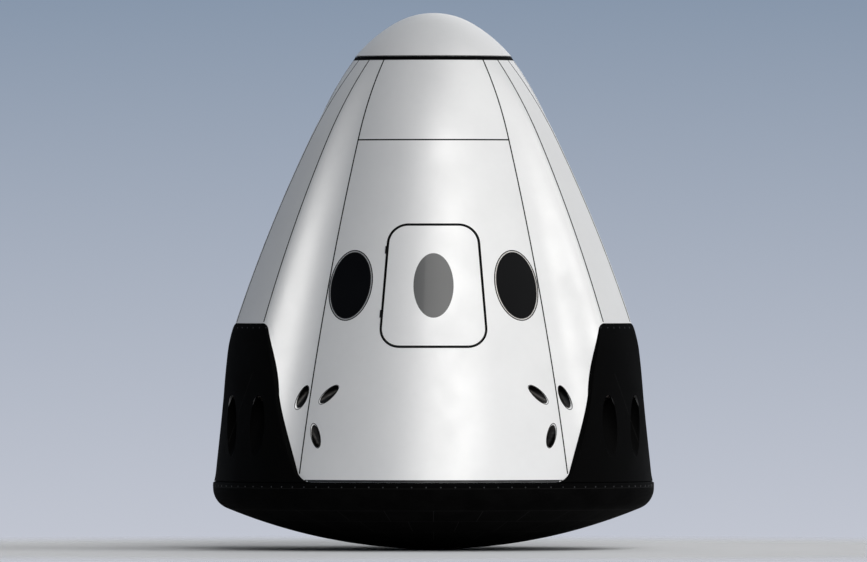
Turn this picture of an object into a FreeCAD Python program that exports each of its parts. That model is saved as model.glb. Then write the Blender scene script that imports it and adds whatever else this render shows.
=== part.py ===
"""Crew capsule: a hollow ogive hull on a convex heat shield, with three hinged closures.

Frame: millimetres, +Z up along the hull's axis, origin at the lowest point of the heat
shield.  The side hatch faces -Y.  Azimuths are in degrees from -Y, positive towards +X,
so "left" is -X and "right" is +X as seen by someone standing in front of the hatch.
"""
import FreeCAD, Part
import Sketcher
import math
import os

from FreeCAD import Placement, Rotation, Vector

# ---------------------------------------------------------------- driving sizes
SIZES = (
    # alias, value, what it is
    # heat shield and base ring
    ("shield_proud", 26, "how far the shield and base ring stand out past the shell"),
    ("shield_sphere", 4900, "radius of the shield's spherical face"),
    ("shield_shoulder", 200, "radius of the shield's rounded shoulder"),
    ("shield_thick", 160, "thickness of the shield dish"),
    ("shield_rim", 1.7, "height of the shield's upright rim above its shoulder"),
    ("ring_tall", 61, "height of the base ring"),
    ("ring_bevel", 17, "height of the base ring's bevel"),
    # hull shell: two tangent arcs of revolution
    ("shell_radius", 1974, "outer radius of the shell at its lower edge"),
    ("knee_up", 3750, "height where the two arcs of hull and pods meet"),
    ("knee_radius", 1088, "hull radius there"),
    ("peak_tall", 683, "height of the shell above the knee"),
    ("top_radius", 725, "outer radius of the shell at its upper edge"),
    ("lower_arc", 21637, "radius of the hull's lower arc"),
    ("upper_arc", 2824, "radius of the hull's upper arc"),
    ("wall", 90, "thickness of the hull wall"),
    ("cover_drop", 44, "drop from the knee to the seam under the parachute covers"),
    # sectors, in degrees
    ("panel_half", 38, "half angle of the front and rear panels"),
    ("pod_middle", 60.5, "azimuth of a front pod's middle"),
    ("strip_half", 7.5, "half angle of the pod's crown strip"),
    # pods: the crown strip follows two tangent arcs of revolution
    ("pod_low", 2050, "height where a pod's white cover ends"),
    ("pod_low_proud", 287.3, "how far the crown stands out past the hull there"),
    ("pod_knee_proud", 92, "how far it stands out at the knee"),
    ("pod_lower_arc", 13240, "radius of the crown's lower arc"),
    ("pod_upper_arc", 4142, "radius of the crown's upper arc"),
    ("blend_root", 0.44, "handle of the blend at the panel, as a share of its chord"),
    ("blend_crown", 0.27, "handle of the blend at the crown, as a share of its chord"),
    # engine fairings
    ("fairing_proud", 18, "how far a fairing stands out past the shell's lower edge"),
    ("fairing_bend_up", 1750, "height where its outer face bends inwards"),
    ("fairing_bend_in", 35, "how far its outer face has leaned in there"),
    ("fairing_crown_arc", 1300, "radius of the bend"),
    ("fairing_top_half", 255, "half width of its top edge"),
    ("fairing_corner_half", 318, "half width below the rounded top corners"),
    ("fairing_corner_tall", 50, "height of the rounded top corners"),
    ("fairing_corner_arc", 80, "radius of the top corners"),
    ("fairing_waist_half", 480, "half width where the outline turns outwards"),
    ("fairing_waist_up", 1400, "height there"),
    ("fairing_side_arc", 3000, "radius of the outline's long arcs"),
    ("fairing_flare_half", 735, "half width above the toe"),
    ("fairing_toe_tall", 79, "height of the toe"),
    ("fairing_toe_half", 880, "half width of the toe on the lower edge"),
    ("fairing_toe_arc", 220, "radius of the toe"),
    # escape engines
    ("engine_bore", 110, "radius of an engine's recess"),
    ("engine_offset", 235, "distance of an engine from the pod's middle plane"),
    ("engine_mouth_up", 1150, "height where its axis leaves the fairing"),
    ("engine_set_in", 42, "how far that point lies inside the fairing's lower edge"),
    ("engine_tilt", 25, "angle of its axis from the vertical, in degrees"),
    ("engine_depth", 430, "depth of its recess along the axis"),
    ("engine_length", 210, "length of the bell"),
    ("engine_throat", 45, "radius of the bell's throat"),
    ("engine_rim", 95, "radius of the bell's mouth"),
    ("engine_skin", 8, "thickness of the bell"),
    # side thrusters
    ("thruster_bore", 46, "radius of a thruster's hole"),
    ("thruster_lean", 22.8, "angle between its axis and the hull, in degrees"),
    ("thruster_depth", 200, "length of its nozzle inside the hull"),
    ("thruster_skin", 5, "thickness of its nozzle"),
    ("thruster_recess", 6, "depth of its lip under the surface"),
    # side hatch
    ("hatch_up", 2390, "height of the hatch's middle"),
    ("hatch_low", 1840, "height of the hatch's lower seam"),
    ("hatch_high", 2939, "height of the hatch's upper seam"),
    ("hatch_half", 16.8, "half angle of the hatch, in degrees"),
    ("hatch_corner", 175, "radius of the hatch's corners"),
    ("hatch_gap", 18, "width of the gap around the hatch"),
    # windows: ellipses on the hull
    ("window_azimuth", 29.3, "azimuth of the side windows, in degrees"),
    ("window_up", 2392, "height of the side windows' middle"),
    ("window_half_wide", 219, "half width of a side window with its frame"),
    ("window_half_tall", 328, "half height of a side window with its frame"),
    ("window_rim", 20, "width of a side window's frame"),
    ("window_ledge", 32, "width of the ledge that carries the glass"),
    ("window_deep", 30, "depth of the window rebate"),
    ("port_half_wide", 181, "half width of the hatch window"),
    ("port_half_tall", 303, "half height of the hatch window"),
    # top of the hull
    ("nose_ring_tall", 28, "height of the nose ring"),
    ("nose_ring_in", 17, "how far the nose ring's outside leans in"),
    ("nose_ring_wide", 60, "width of the nose ring"),
    ("dome_gap", 5, "gap between nose ring and nose cone"),
    ("dome_step", 1, "how far the nose cone's edge lies inside the nose ring's"),
    ("dome_side_tall", 302, "height of the nose cone's side, up to where its arcs meet"),
    ("dome_knee_radius", 350, "outer radius there"),
    ("dome_tall", 396, "height of the nose cone"),
    ("dome_side_arc", 1320, "radius of the nose cone's side"),
    ("dome_wall", 35, "thickness of the nose cone"),
    ("bulkhead_drop", 143, "drop from the shell's upper edge to the forward bulkhead"),
    ("bulkhead_thick", 30, "thickness of the forward bulkhead"),
    ("tunnel_radius", 400, "inner radius of the docking tunnel"),
    ("tunnel_wall", 25, "wall of the docking tunnel"),
    ("tunnel_drop", 33, "drop from the shell's upper edge to the tunnel's"),
    ("docking_wide", 105, "width of the docking ring"),
    ("docking_thick", 110, "height of the docking ring"),
    ("petal_thick", 60, "height of the docking ring's guide rim"),
    ("nose_thruster_room", 17.5, "room between a forward thruster's mouth and the wall"),
    ("nose_thruster_rim", 42, "radius of a forward thruster's mouth"),
    ("nose_thruster_tall", 120, "height of a forward thruster"),
    # cabin
    ("floor_up", 1620, "height of the cabin floor"),
    ("floor_thick", 40, "thickness of the cabin floor"),
    ("ceiling_up", 3700, "height of the cabin ceiling"),
    ("ceiling_thick", 30, "thickness of the cabin ceiling"),
    ("tank_radius", 1300, "radius of the tank block under the floor"),
    ("tank_low", 700, "height of the tank block's lower face"),
    ("fit", 0.4, "running clearance between pieces with curved faces"),
    # forward hatch
    ("lid_lap", 30, "how far the forward hatch laps over the tunnel's bore"),
    ("lid_thick", 30, "thickness of the forward hatch"),
    ("lid_gap", 5, "gap between the forward hatch and the ceiling"),
    # hinges
    ("nose_pin_out", 34, "distance of the nose cone's hinge outside the nose ring"),
    ("nose_pin_rise", 14, "height of the nose cone's hinge above the nose ring"),
    ("nose_barrel", 12, "radius of the nose hinge's barrels"),
    ("nose_lug", 58, "length of the nose hinge's fixed bars"),
    ("nose_lug_fall", 31, "slope of its fixed bars, in degrees"),
    ("nose_arm", 75, "length of the nose hinge's moving bars"),
    ("lid_pin_out", 25, "distance of the forward hatch's hinge outside the hatch"),
    ("lid_barrel", 12, "radius of the forward hatch's hinge barrels"),
    ("hatch_barrel", 7, "radius of the side hatch's hinge barrels"),
    ("barrel_length", 70, "length of each hinge barrel"),
    ("barrel_gap", 1, "gap between two barrels"),
    ("hinge_bar", 0.9, "thickness of a hinge's flat bar, as a share of its barrel's radius"),
    ("pin_fit", 0.05, "clearance of a hinge pin"),
    ("nose_hinge_half", 80, "distance of the nose hinges from the middle"),
    ("lid_hinge_half", 120, "distance of the forward hatch's hinges from the middle"),
    ("hatch_hinge_half", 300, "distance of the side hatch's hinges from its middle"),
    # seats and display
    ("seat_pitch", 540, "distance between seats"),
    ("seat_wide", 470, "width of a seat"),
    ("seat_front", -190, "place of the seats' front edge along Y"),
    ("seat_long", 430, "length of the seat cushion"),
    ("seat_pad", 90, "thickness of the cushions"),
    ("seat_up", 1990, "height of the seat cushion's upper face"),
    ("seat_back", 560, "length of the back cushion"),
    ("seat_recline", 25, "recline of the back, in degrees"),
    ("back_lift", 20, "gap between seat cushion and back cushion"),
    ("head_long", 130, "length of the headrest"),
    ("head_lift", 20, "gap between back cushion and headrest"),
    ("seat_shell", 20, "thickness of the seat shell"),
    ("beam", 60, "size of the seat frame's beams"),
    ("screen_wide", 1100, "width of the control display"),
    ("screen_tall", 340, "height of the control display"),
    ("screen_thick", 60, "thickness of the control display"),
    ("screen_out", 560, "distance of the display in front of the axis"),
    ("screen_up", 2860, "height of the display's middle"),
)

doc = FreeCAD.newDocument("capsule")
size = doc.addObject("Spreadsheet::Sheet", "size")
for row, (alias, value, note) in enumerate(SIZES, 1):
    size.set(f"A{row}", alias)
    size.set(f"B{row}", str(value))
    size.set(f"C{row}", note)
    size.setAlias(f"B{row}", alias)
doc.recompute()

# Heights and radii that follow from what a piece sits on: alias, formula.
SEATED = (
    ("shield_radius", "size.shell_radius + size.shield_proud"),
    ("shoulder_out", "worked.shield_radius - size.shield_shoulder"),
    ("shoulder_reach", "size.shield_sphere - size.shield_shoulder"),
    ("shoulder_drop", "sqrt(worked.shoulder_reach^2 - worked.shoulder_out^2)"),
    ("shield_top", "size.shield_sphere - worked.shoulder_drop + size.shield_rim"),
    ("shell_low", "worked.shield_top + size.ring_tall"),
    ("shell_top", "size.knee_up + size.peak_tall"),
    ("cover_up", "size.knee_up - size.cover_drop"),
    ("fairing_low_radius", "size.shell_radius + size.fairing_proud"),
    ("pod_knee_radius", "size.knee_radius + size.pod_knee_proud"),
    ("engine_mouth_radius", "worked.fairing_low_radius - size.engine_set_in"),
    ("nose_ring_top", "worked.shell_top + size.nose_ring_tall"),
    ("nose_ring_radius", "size.top_radius - size.nose_ring_in"),
    ("dome_low", "worked.nose_ring_top + size.dome_gap"),
    ("dome_radius", "worked.nose_ring_radius - size.dome_step"),
    ("dome_knee_up", "worked.dome_low + size.dome_side_tall"),
    ("dome_top", "worked.dome_low + size.dome_tall"),
    ("bulkhead_up", "worked.shell_top - size.bulkhead_drop"),
    ("tunnel_top", "worked.shell_top - size.tunnel_drop"),
    ("docking_radius", "size.tunnel_radius + size.docking_wide"),
    ("lid_radius", "size.tunnel_radius + size.lid_lap"),
)

# Arcs of revolution: name, lower end (radius, height), upper end, radius of the arc.
# Each bulges outwards, so its centre lies below and inside its chord.
ARCS = (
    ("lower", "size.shell_radius", "worked.shell_low",
     "size.knee_radius", "size.knee_up", "size.lower_arc"),
    ("upper", "size.knee_radius", "size.knee_up",
     "size.top_radius", "worked.shell_top", "size.upper_arc"),
    ("crown", "worked.pod_low_radius", "size.pod_low",
     "worked.pod_knee_radius", "size.knee_up", "size.pod_lower_arc"),
    ("peak", "worked.pod_knee_radius", "size.knee_up",
     "size.top_radius", "worked.shell_top", "size.pod_upper_arc"),
    ("side", "worked.dome_radius", "worked.dome_low",
     "size.dome_knee_radius", "worked.dome_knee_up", "size.dome_side_arc"),
)
ARC_SIZE = {name: radius for name, *ends, radius in ARCS}

worked = doc.addObject("Spreadsheet::Sheet", "worked")
worked_rows = []


def work_out(alias, formula):
    """Add a formula to the worked sheet under an alias."""
    worked_rows.append(alias)
    row = len(worked_rows)
    worked.set(f"A{row}", alias)
    worked.set(f"B{row}", "=" + formula.replace("worked.", ""))
    worked.setAlias(f"B{row}", alias)
    doc.recompute()


def number(text):
    """The value of an expression over the sheets."""
    value = worked.evalExpression(str(text))
    return float(getattr(value, "Value", value))


def on_arc(name, height, inset="0"):
    """Expression for the radius of an arc of revolution at a height, less an inset."""
    return (f"(worked.{name}_out + sqrt(({ARC_SIZE[name]} - ({inset}))^2"
            f" - (({height}) - worked.{name}_up)^2))")


for alias, formula in SEATED:
    work_out(alias, formula)
for name, low_out, low_up, high_out, high_up, radius in ARCS:
    if name == "crown":
        work_out("pod_low_radius", on_arc("lower", "size.pod_low") + " + size.pod_low_proud")
    chord = f"sqrt(({high_out} - {low_out})^2 + ({high_up} - {low_up})^2)"
    rise = f"sqrt({radius}^2 - ({chord})^2 / 4)"
    work_out(f"{name}_out", f"({low_out} + {high_out}) / 2"
                            f" - ({high_up} - {low_up}) / {chord} * {rise}")
    work_out(f"{name}_up", f"({low_up} + {high_up}) / 2"
                           f" + ({high_out} - {low_out}) / {chord} * {rise}")


def hull(height, inset="0"):
    """Expression for the hull's radius at a height."""
    name = "lower" if number(height) <= number("size.knee_up") else "upper"
    return on_arc(name, height, inset)


def crown(height):
    """Expression for the radius of a pod's crown strip at a height."""
    name = "crown" if number(height) <= number("size.knee_up") else "peak"
    return on_arc(name, height)


def at(azimuth, radius, height):
    """A point from its azimuth in degrees, its distance from the axis and its height."""
    turn = math.radians(azimuth)
    return Vector(radius * math.sin(turn), -radius * math.cos(turn), height)


def turned(azimuth):
    """Placement that turns a piece made facing -Y to its azimuth."""
    return Placement(Vector(), Rotation(Vector(0, 0, 1), azimuth))


# How far the tools that cut the wall reach past it, and the width of the hull sectors
# that the windows are cut from.
REACH = "5 * size.wall"
WINDOW_SECTOR = "2.5 * size.hatch_half"
SEATS = 4
FORWARD_THRUSTERS = 4
COVER_SECTIONS = 5
FLANK_SECTIONS = 4


# ---------------------------------------------------------------- makers
nodes = {}


def keep(label, thing):
    """Register a finished sub-part under its node name."""
    thing.Label = label
    nodes[label] = thing
    return thing


def keep_all(label, things):
    """Register several like solids as one sub-part."""
    group = doc.addObject("Part::Compound", label)
    group.Links = things
    return keep(label, group)


def outline(body, corners, plane="XZ_Plane"):
    """A closed sketch in a body's plane.

    corners: (across, up) as expressions, or (across, up, radius) where an arc of that
    radius runs to the next corner; a minus in front makes it bend the other way, and
    "axis" in place of the radius puts the arc's centre on the axis of revolution.
    """
    sketch = body.newObject("Sketcher::SketchObject", "outline")
    for feature in body.Origin.OriginFeatures:
        if feature.Role == plane:
            sketch.AttachmentSupport = [(feature, "")]
    sketch.MapMode = "FlatFace"
    points = [Vector(number(c[0]), number(c[1]), 0) for c in corners]
    ends = []
    for index, corner in enumerate(corners):
        start = points[index]
        end = points[(index + 1) % len(points)]
        if len(corner) == 2:
            ends.append((sketch.addGeometry(Part.LineSegment(start, end)), 1, 2))
            continue
        left = not corner[2].startswith("-")
        chord = end - start
        if corner[2].endswith("axis"):
            level = (end.dot(end) - start.dot(start)) / (2 * (end.y - start.y))
            radius = (end - Vector(0, level, 0)).Length
        else:
            radius = number(corner[2].lstrip("-"))
        rise = math.sqrt(radius ** 2 - chord.Length ** 2 / 4)
        across = Vector(-chord.y, chord.x, 0).normalize() * (rise if left else -rise)
        centre = (start + end) / 2 + across
        first, last = (start, end) if left else (end, start)
        angles = [math.atan2(p.y - centre.y, p.x - centre.x) for p in (first, last)]
        if angles[1] < angles[0]:
            angles[1] += 2 * math.pi
        circle = Part.Circle(centre, Vector(0, 0, 1), radius)
        arc = sketch.addGeometry(Part.ArcOfCircle(circle, *angles))
        ends.append((arc, 1, 2) if left else (arc, 2, 1))
    for index, corner in enumerate(corners):
        edge, start, end = ends[index]
        after, first, last = ends[(index + 1) % len(ends)]
        sketch.addConstraint(Sketcher.Constraint("Coincident", edge, end, after, first))
        for text, kind, axis in ((corner[0], "DistanceX", -2), (corner[1], "DistanceY", -1)):
            if text == "0":
                sketch.addConstraint(Sketcher.Constraint("PointOnObject", edge, start, axis))
                continue
            datum = sketch.addConstraint(
                Sketcher.Constraint(kind, -1, 1, edge, start, number(text)))
            sketch.setExpression(f"Constraints[{datum}]", text)
        if len(corner) == 3 and corner[2].endswith("axis"):
            sketch.addConstraint(Sketcher.Constraint("PointOnObject", edge, 3, -2))
        elif len(corner) == 3:
            text = corner[2].lstrip("-")
            datum = sketch.addConstraint(Sketcher.Constraint("Radius", edge, number(text)))
            sketch.setExpression(f"Constraints[{datum}]", text)
    return sketch


def revolved(name, corners, angle="360", azimuth=0):
    """A body turned about Z from an outline of (radius, height) corners."""
    body = doc.addObject("PartDesign::Body", name)
    sketch = outline(body, corners)
    turn = body.newObject("PartDesign::Revolution", name + "_turn")
    turn.Profile = sketch
    turn.ReferenceAxis = (sketch, ["V_Axis"])
    turn.setExpression("Angle", angle)
    turn.Midplane = angle != "360"
    body.Placement = turned(azimuth - 90)
    return body


def shell(name, low, high, angle, azimuth, outer="0", inner="size.wall"):
    """A sector of the hull wall between two heights, from one inset to another."""
    split = number(low) < number("size.knee_up") < number(high)
    knee = "size.knee_up"
    corners = [(hull(low, outer), low, arc_size(low, outer))]
    if split:
        corners.append((hull(knee, outer), knee, arc_size(high, outer)))
    corners.append((hull(high, outer), high))
    corners.append((hull(high, inner), high, "-" + arc_size(high, inner)))
    if split:
        corners.append((hull(knee, inner), knee, "-" + arc_size(low, inner)))
    corners.append((hull(low, inner), low))
    return revolved(name, corners, angle, azimuth)


def arc_size(height, inset):
    """Expression for the radius of the hull arc that a height lies on."""
    arc = "lower" if number(height) <= number("size.knee_up") else "upper"
    return f"({ARC_SIZE[arc]} - ({inset}))"


def cut(name, base, *tools):
    """One object with the tools taken away."""
    tool = tools[0]
    if len(tools) > 1:
        tool = doc.addObject("Part::Compound", name + "_tools")
        tool.Links = list(tools)
    result = doc.addObject("Part::Cut", name)
    result.Base = base
    result.Tool = tool
    return result


def common(name, base, tool):
    """The space that two objects share."""
    result = doc.addObject("Part::Common", name)
    result.Base = base
    result.Tool = tool
    return result


def feature(name, shape, placement=Placement()):
    """A shape made by Part's own functions, put in its place."""
    thing = doc.addObject("Part::Feature", name)
    thing.Shape = shape
    thing.Placement = placement
    return thing


def cylinder(name, radius, height, placement):
    """A Part cylinder bound to the sheet."""
    thing = doc.addObject("Part::Cylinder", name)
    thing.setExpression("Radius", radius)
    thing.setExpression("Height", height)
    thing.Placement = placement
    return thing


def box(name, long, wide, tall, middle, rotation=Rotation()):
    """A Part box bound to the sheet, placed by its middle."""
    thing = doc.addObject("Part::Box", name)
    for side, text in (("Length", long), ("Width", wide), ("Height", tall)):
        thing.setExpression(side, text)
    half = Vector(number(long), number(wide), number(tall)) / 2
    thing.Placement = Placement(middle - rotation.multVec(half), rotation)
    return thing


def ellipse_prism(name, wide, tall, length, placement):
    """An elliptical rod; it starts at the placement and runs along its local +Z."""
    curve = doc.addObject("Part::Ellipse", name + "_curve")
    curve.setExpression("MajorRadius", tall)
    curve.setExpression("MinorRadius", wide)
    curve.Placement = placement
    rod = doc.addObject("Part::Extrusion", name)
    rod.Base = curve
    rod.DirMode = "Custom"
    rod.Dir = placement.Rotation.multVec(Vector(0, 0, 1))
    rod.setExpression("LengthFwd", length)
    rod.Solid = True
    return rod


# ---------------------------------------------------------------- base
def make_base():
    """Convex heat shield and the ring that joins it to the shell."""
    spread = "size.shield_sphere / worked.shoulder_reach"
    edge_out = f"worked.shoulder_out * {spread}"
    edge_up = f"size.shield_sphere - worked.shoulder_drop * {spread}"
    inside = "(size.shield_sphere - size.shield_thick)"
    inner_out = f"sqrt({inside}^2 - (size.shield_sphere - worked.shield_top)^2)"
    keep("heat_shield", revolved("heat_shield", (
        ("0", "0", "axis"),
        (edge_out, edge_up, "size.shield_shoulder"),
        ("worked.shield_radius", "size.shield_sphere - worked.shoulder_drop"),
        ("worked.shield_radius", "worked.shield_top"),
        (inner_out, "worked.shield_top", "-axis"),
        ("0", "size.shield_thick"))))
    keep("base_ring", revolved("base_ring", (
        (inner_out, "worked.shield_top"),
        ("worked.shield_radius", "worked.shield_top"),
        ("worked.shield_radius", "worked.shell_low - size.ring_bevel"),
        ("size.shell_radius", "worked.shell_low"),
        (hull("worked.shell_low", "size.wall"), "worked.shell_low"))))


# ---------------------------------------------------------------- tools for the openings
def surface_frame(azimuth, facing, height):
    """Origin on the hull and unit vectors away from the hatch side, up and outwards.

    facing is the azimuth that the surface faces there; away points to larger azimuths.
    """
    height = number(height)
    arc = "lower" if height <= number("size.knee_up") else "upper"
    slope = math.asin((height - number(f"worked.{arc}_up")) / number(ARC_SIZE[arc]))
    level = at(facing, 1, 0)
    away = at(facing + 90, 1, 0)
    outwards = level * math.cos(slope) + Vector(0, 0, math.sin(slope))
    up = level * -math.sin(slope) + Vector(0, 0, math.cos(slope))
    return at(azimuth, number(hull(height)), height), away, up, outwards


def along(origin, first, second, third):
    """Placement whose local axes are three given directions."""
    matrix = FreeCAD.Matrix(
        first.x, second.x, third.x, origin.x,
        first.y, second.y, third.y, origin.y,
        first.z, second.z, third.z, origin.z,
        0, 0, 0, 1)
    return Placement(matrix)


# Side thrusters of a front pod: each with its azimuth, its height, how far the surface
# there stands proud of the hull, the azimuth that it faces, and the heading of its plume
# from straight up towards larger azimuths.
THRUSTERS = (
    # azimuth, height, proud, facing, heading
    (40.5, 1383, 11, 24.3, 157),
    (31.8, 1406, 0, 31.8, 132),
    (34.3, 1043, 0, 34.3, 23),
)
PODS = (
    # name, azimuth of the middle
    ("front_left", "-size.pod_middle"),
    ("front_right", "size.pod_middle"),
    ("rear_left", "size.pod_middle - 180"),
    ("rear_right", "180 - size.pod_middle"),
)


def thruster_frame(pod, azimuth, height, proud, facing, heading):
    """Frame of a thruster's mouth on one pod: its placement along the plume, and the
    surface's outward direction."""
    hand = -1 if "left" in pod else 1
    origin, away, up, outwards = surface_frame(azimuth, facing, height)
    origin = origin + at(azimuth, proud, 0)
    lean = math.radians(number("size.thruster_lean"))
    turn = math.radians(heading)
    plume = (up * math.cos(turn) + away * math.sin(turn)) * math.cos(lean)
    plume = plume + outwards * math.sin(lean)
    back = -1 if "rear" in pod else 1

    def mirror(vector):
        return Vector(vector.x * hand, vector.y * back, vector.z)

    origin, plume, outwards = mirror(origin), mirror(plume), mirror(outwards)
    across = plume.cross(outwards).normalize()
    return along(origin, across, plume.cross(across), plume), outwards


def make_thrusters():
    """Three scarfed nozzles beside each pod, and the rods that cut their holes."""
    bore = "size.thruster_bore"
    past = "2 * size.thruster_depth"
    span = "4 * size.thruster_depth"
    rise = number(span) / 2 - number("size.thruster_recess")
    back = Placement(Vector(0, 0, -number("size.thruster_depth")), Rotation())
    base = Placement(Vector(0, 0, 2 * number("size.thruster_skin")), Rotation())
    holes = {}
    cups = []
    for pod, _ in PODS:
        holes[pod] = []
        for index, row in enumerate(THRUSTERS):
            place, outwards = thruster_frame(pod, *row)
            low = place.multiply(back)
            name = f"thruster_{pod}_{index}"
            holes[pod].append(cylinder(name + "_hole", bore, past, low))
            outer = cylinder(name + "_outer", f"{bore} - size.fit", past, low)
            inner = cylinder(name + "_inner", f"{bore} - size.fit - size.thruster_skin", past,
                             low.multiply(base))
            lid = box(name + "_lid", span, span, span, place.Base + outwards * rise,
                      Rotation(Vector(0, 0, 1), outwards))
            cups.append(cut(name, cut(name + "_cup", outer, inner), lid))
    keep_all("side_thrusters", cups)
    return holes


def bell(name, seam="0"):
    """A fairing's outline, mirrored about the pod's middle and padded outwards."""
    half = (
        ("size.fairing_toe_half", "worked.shell_low", "-size.fairing_toe_arc"),
        ("size.fairing_flare_half", "worked.shell_low + size.fairing_toe_tall", "-size.fairing_side_arc"),
        ("size.fairing_waist_half", "size.fairing_waist_up", "size.fairing_side_arc"),
        ("size.fairing_corner_half", "size.pod_low - size.fairing_corner_tall", "size.fairing_corner_arc"),
        ("size.fairing_top_half", "size.pod_low"),
    )
    right = [(f"{c[0]} + {seam}", *c[1:]) for c in half]
    left = []
    for index in range(len(half) - 1, -1, -1):
        corner = (f"-({half[index][0]} + {seam})", half[index][1])
        if index:
            corner += (half[index - 1][2],)
        left.append(corner)
    body = doc.addObject("PartDesign::Body", name)
    sketch = outline(body, right + left)
    pad = body.newObject("PartDesign::Pad", name + "_pad")
    pad.Profile = sketch
    pad.setExpression("Length", "2 * worked.fairing_low_radius")
    return body


def pod_section(height):
    """A pod's outline at a height, as a closed wire facing -Y."""
    half = number("size.pod_middle - size.panel_half")
    strip = number("size.strip_half")
    root = number(hull(height))
    top = number(crown(height))
    inner = number(hull(height, "size.wall"))
    points = [at(-half, root, height), at(-strip, top, height)]
    chord = (points[1] - points[0]).Length
    first = points[0] + at(90 - half, 1, 0) * chord * number("size.blend_root")
    second = points[1] - at(90 - strip, 1, 0) * chord * number("size.blend_crown")

    def blend(hand):
        curve = Part.BezierCurve()
        poles = [Vector(hand * p.x, p.y, p.z) for p in (points[0], first, second, points[1])]
        curve.setPoles(poles if hand > 0 else poles[::-1])
        return curve.toShape()

    edges = [
        Part.makeLine(at(-half, inner, height), points[0]),
        blend(1),
        Part.Arc(at(-strip, top, height), at(0, top, height), at(strip, top, height)).toShape(),
        blend(-1),
        Part.makeLine(at(half, root, height), at(half, inner, height)),
        Part.Arc(at(half, inner, height), at(0, inner, height),
                 at(-half, inner, height)).toShape(),
    ]
    return Part.Wire(edges)


def pod_loft(low, high, count):
    """The pod between two heights, through a few level sections."""
    low, high = number(low), number(high)
    step = (high - low) / (count - 1)
    return Part.makeLoft([pod_section(low + step * i) for i in range(count)], True)


def make_pod_cover():
    """A pod's white cover; its two arcs meet at the hull's knee."""
    below = pod_loft("size.pod_low", "size.knee_up", COVER_SECTIONS)
    above = pod_loft("size.knee_up", "worked.shell_top", COVER_SECTIONS)
    return below.fuse(above)


# ---------------------------------------------------------------- side hatch and windows
def hatch_outline(grow):
    """The hatch's seam, moved outwards by grow, as a face square to the hatch's middle."""
    origin, away, up, outwards = surface_frame(0, 0, "size.hatch_up")
    azimuth = number("size.hatch_half")

    def flat(point):
        offset = point - origin
        return Vector(offset.dot(away), offset.dot(up), 0)

    rows = []
    for height, lift in (("size.hatch_low", -grow), ("size.hatch_high", grow)):
        radius = number(hull(height))
        corner = flat(at(azimuth, radius, number(height)))
        middle = flat(at(0, radius, number(height)))
        rows.append((corner + Vector(grow, lift, 0), middle + Vector(0, lift, 0)))
    (low, low_middle), (high, high_middle) = rows

    def left(point):
        return Vector(-point.x, point.y, 0)

    wire = Part.Wire([
        Part.Arc(left(low), low_middle, low).toShape(),
        Part.makeLine(low, high),
        Part.Arc(high, high_middle, left(high)).toShape(),
        Part.makeLine(left(high), left(low)),
    ])
    return Part.Face(wire), along(origin, away, up, outwards)


def hatch_prism(name, grow):
    """The hatch's prism, with rounded corners, through the whole wall."""
    face, place = hatch_outline(grow)
    reach = number(REACH)
    prism = face.extrude(Vector(0, 0, 2 * reach))
    corners = [edge for edge in prism.Edges
               if edge.Curve.TypeId == "Part::GeomLine"
               and abs(edge.Vertexes[0].Z - edge.Vertexes[1].Z) > reach]
    prism = prism.makeFillet(number("size.hatch_corner") + grow, corners)
    return feature(name, prism, place.multiply(Placement(Vector(0, 0, -reach), Rotation())))


def window_tools(name, azimuth, height, wide, tall, rim):
    """Rods for one window: its rebate, its see-through opening, its glass and its frame."""
    origin, away, up, outwards = surface_frame(azimuth, azimuth, height)
    start = along(origin - outwards * number(REACH), up, away * -1, outwards)
    rods = {}
    for part, inset in (("rebate", "0"), ("hole", "size.window_ledge"),
                        ("frame", "size.fit"), ("pane", rim)):
        rods[part] = ellipse_prism(f"{name}_{part}", f"{wide} - ({inset})",
                                   f"{tall} - ({inset})", "2 * " + REACH, start)
    return rods


def glazed(name, azimuth, rods, frame):
    """Glass, and if asked its frame, cut from the hull's skin above the rebate's floor."""
    skin = shell(name + "_skin", "size.hatch_low - size.wall", "size.hatch_high + size.wall",
                 WINDOW_SECTOR, azimuth, "0", "size.window_deep - size.fit")
    glass = common(name + "_glass", skin, rods["pane"])
    if not frame:
        return glass, None
    ring = cut(name + "_ring", rods["frame"],
               ellipse_prism(name + "_inner", "size.window_half_wide - size.window_rim + size.fit",
                             "size.window_half_tall - size.window_rim + size.fit",
                             "2 * " + REACH, rods["frame"].Base.Placement))
    return glass, common(name + "_frame", skin, ring)


def rebate(name, azimuth, rod):
    """The recess for a window: its rod, as deep as the rebate."""
    skin = shell(name + "_recess", "size.hatch_low - size.wall",
                 "size.hatch_high + size.wall", WINDOW_SECTOR, azimuth,
                 "-size.wall", "size.window_deep")
    return common(name + "_rebate", skin, rod)


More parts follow.
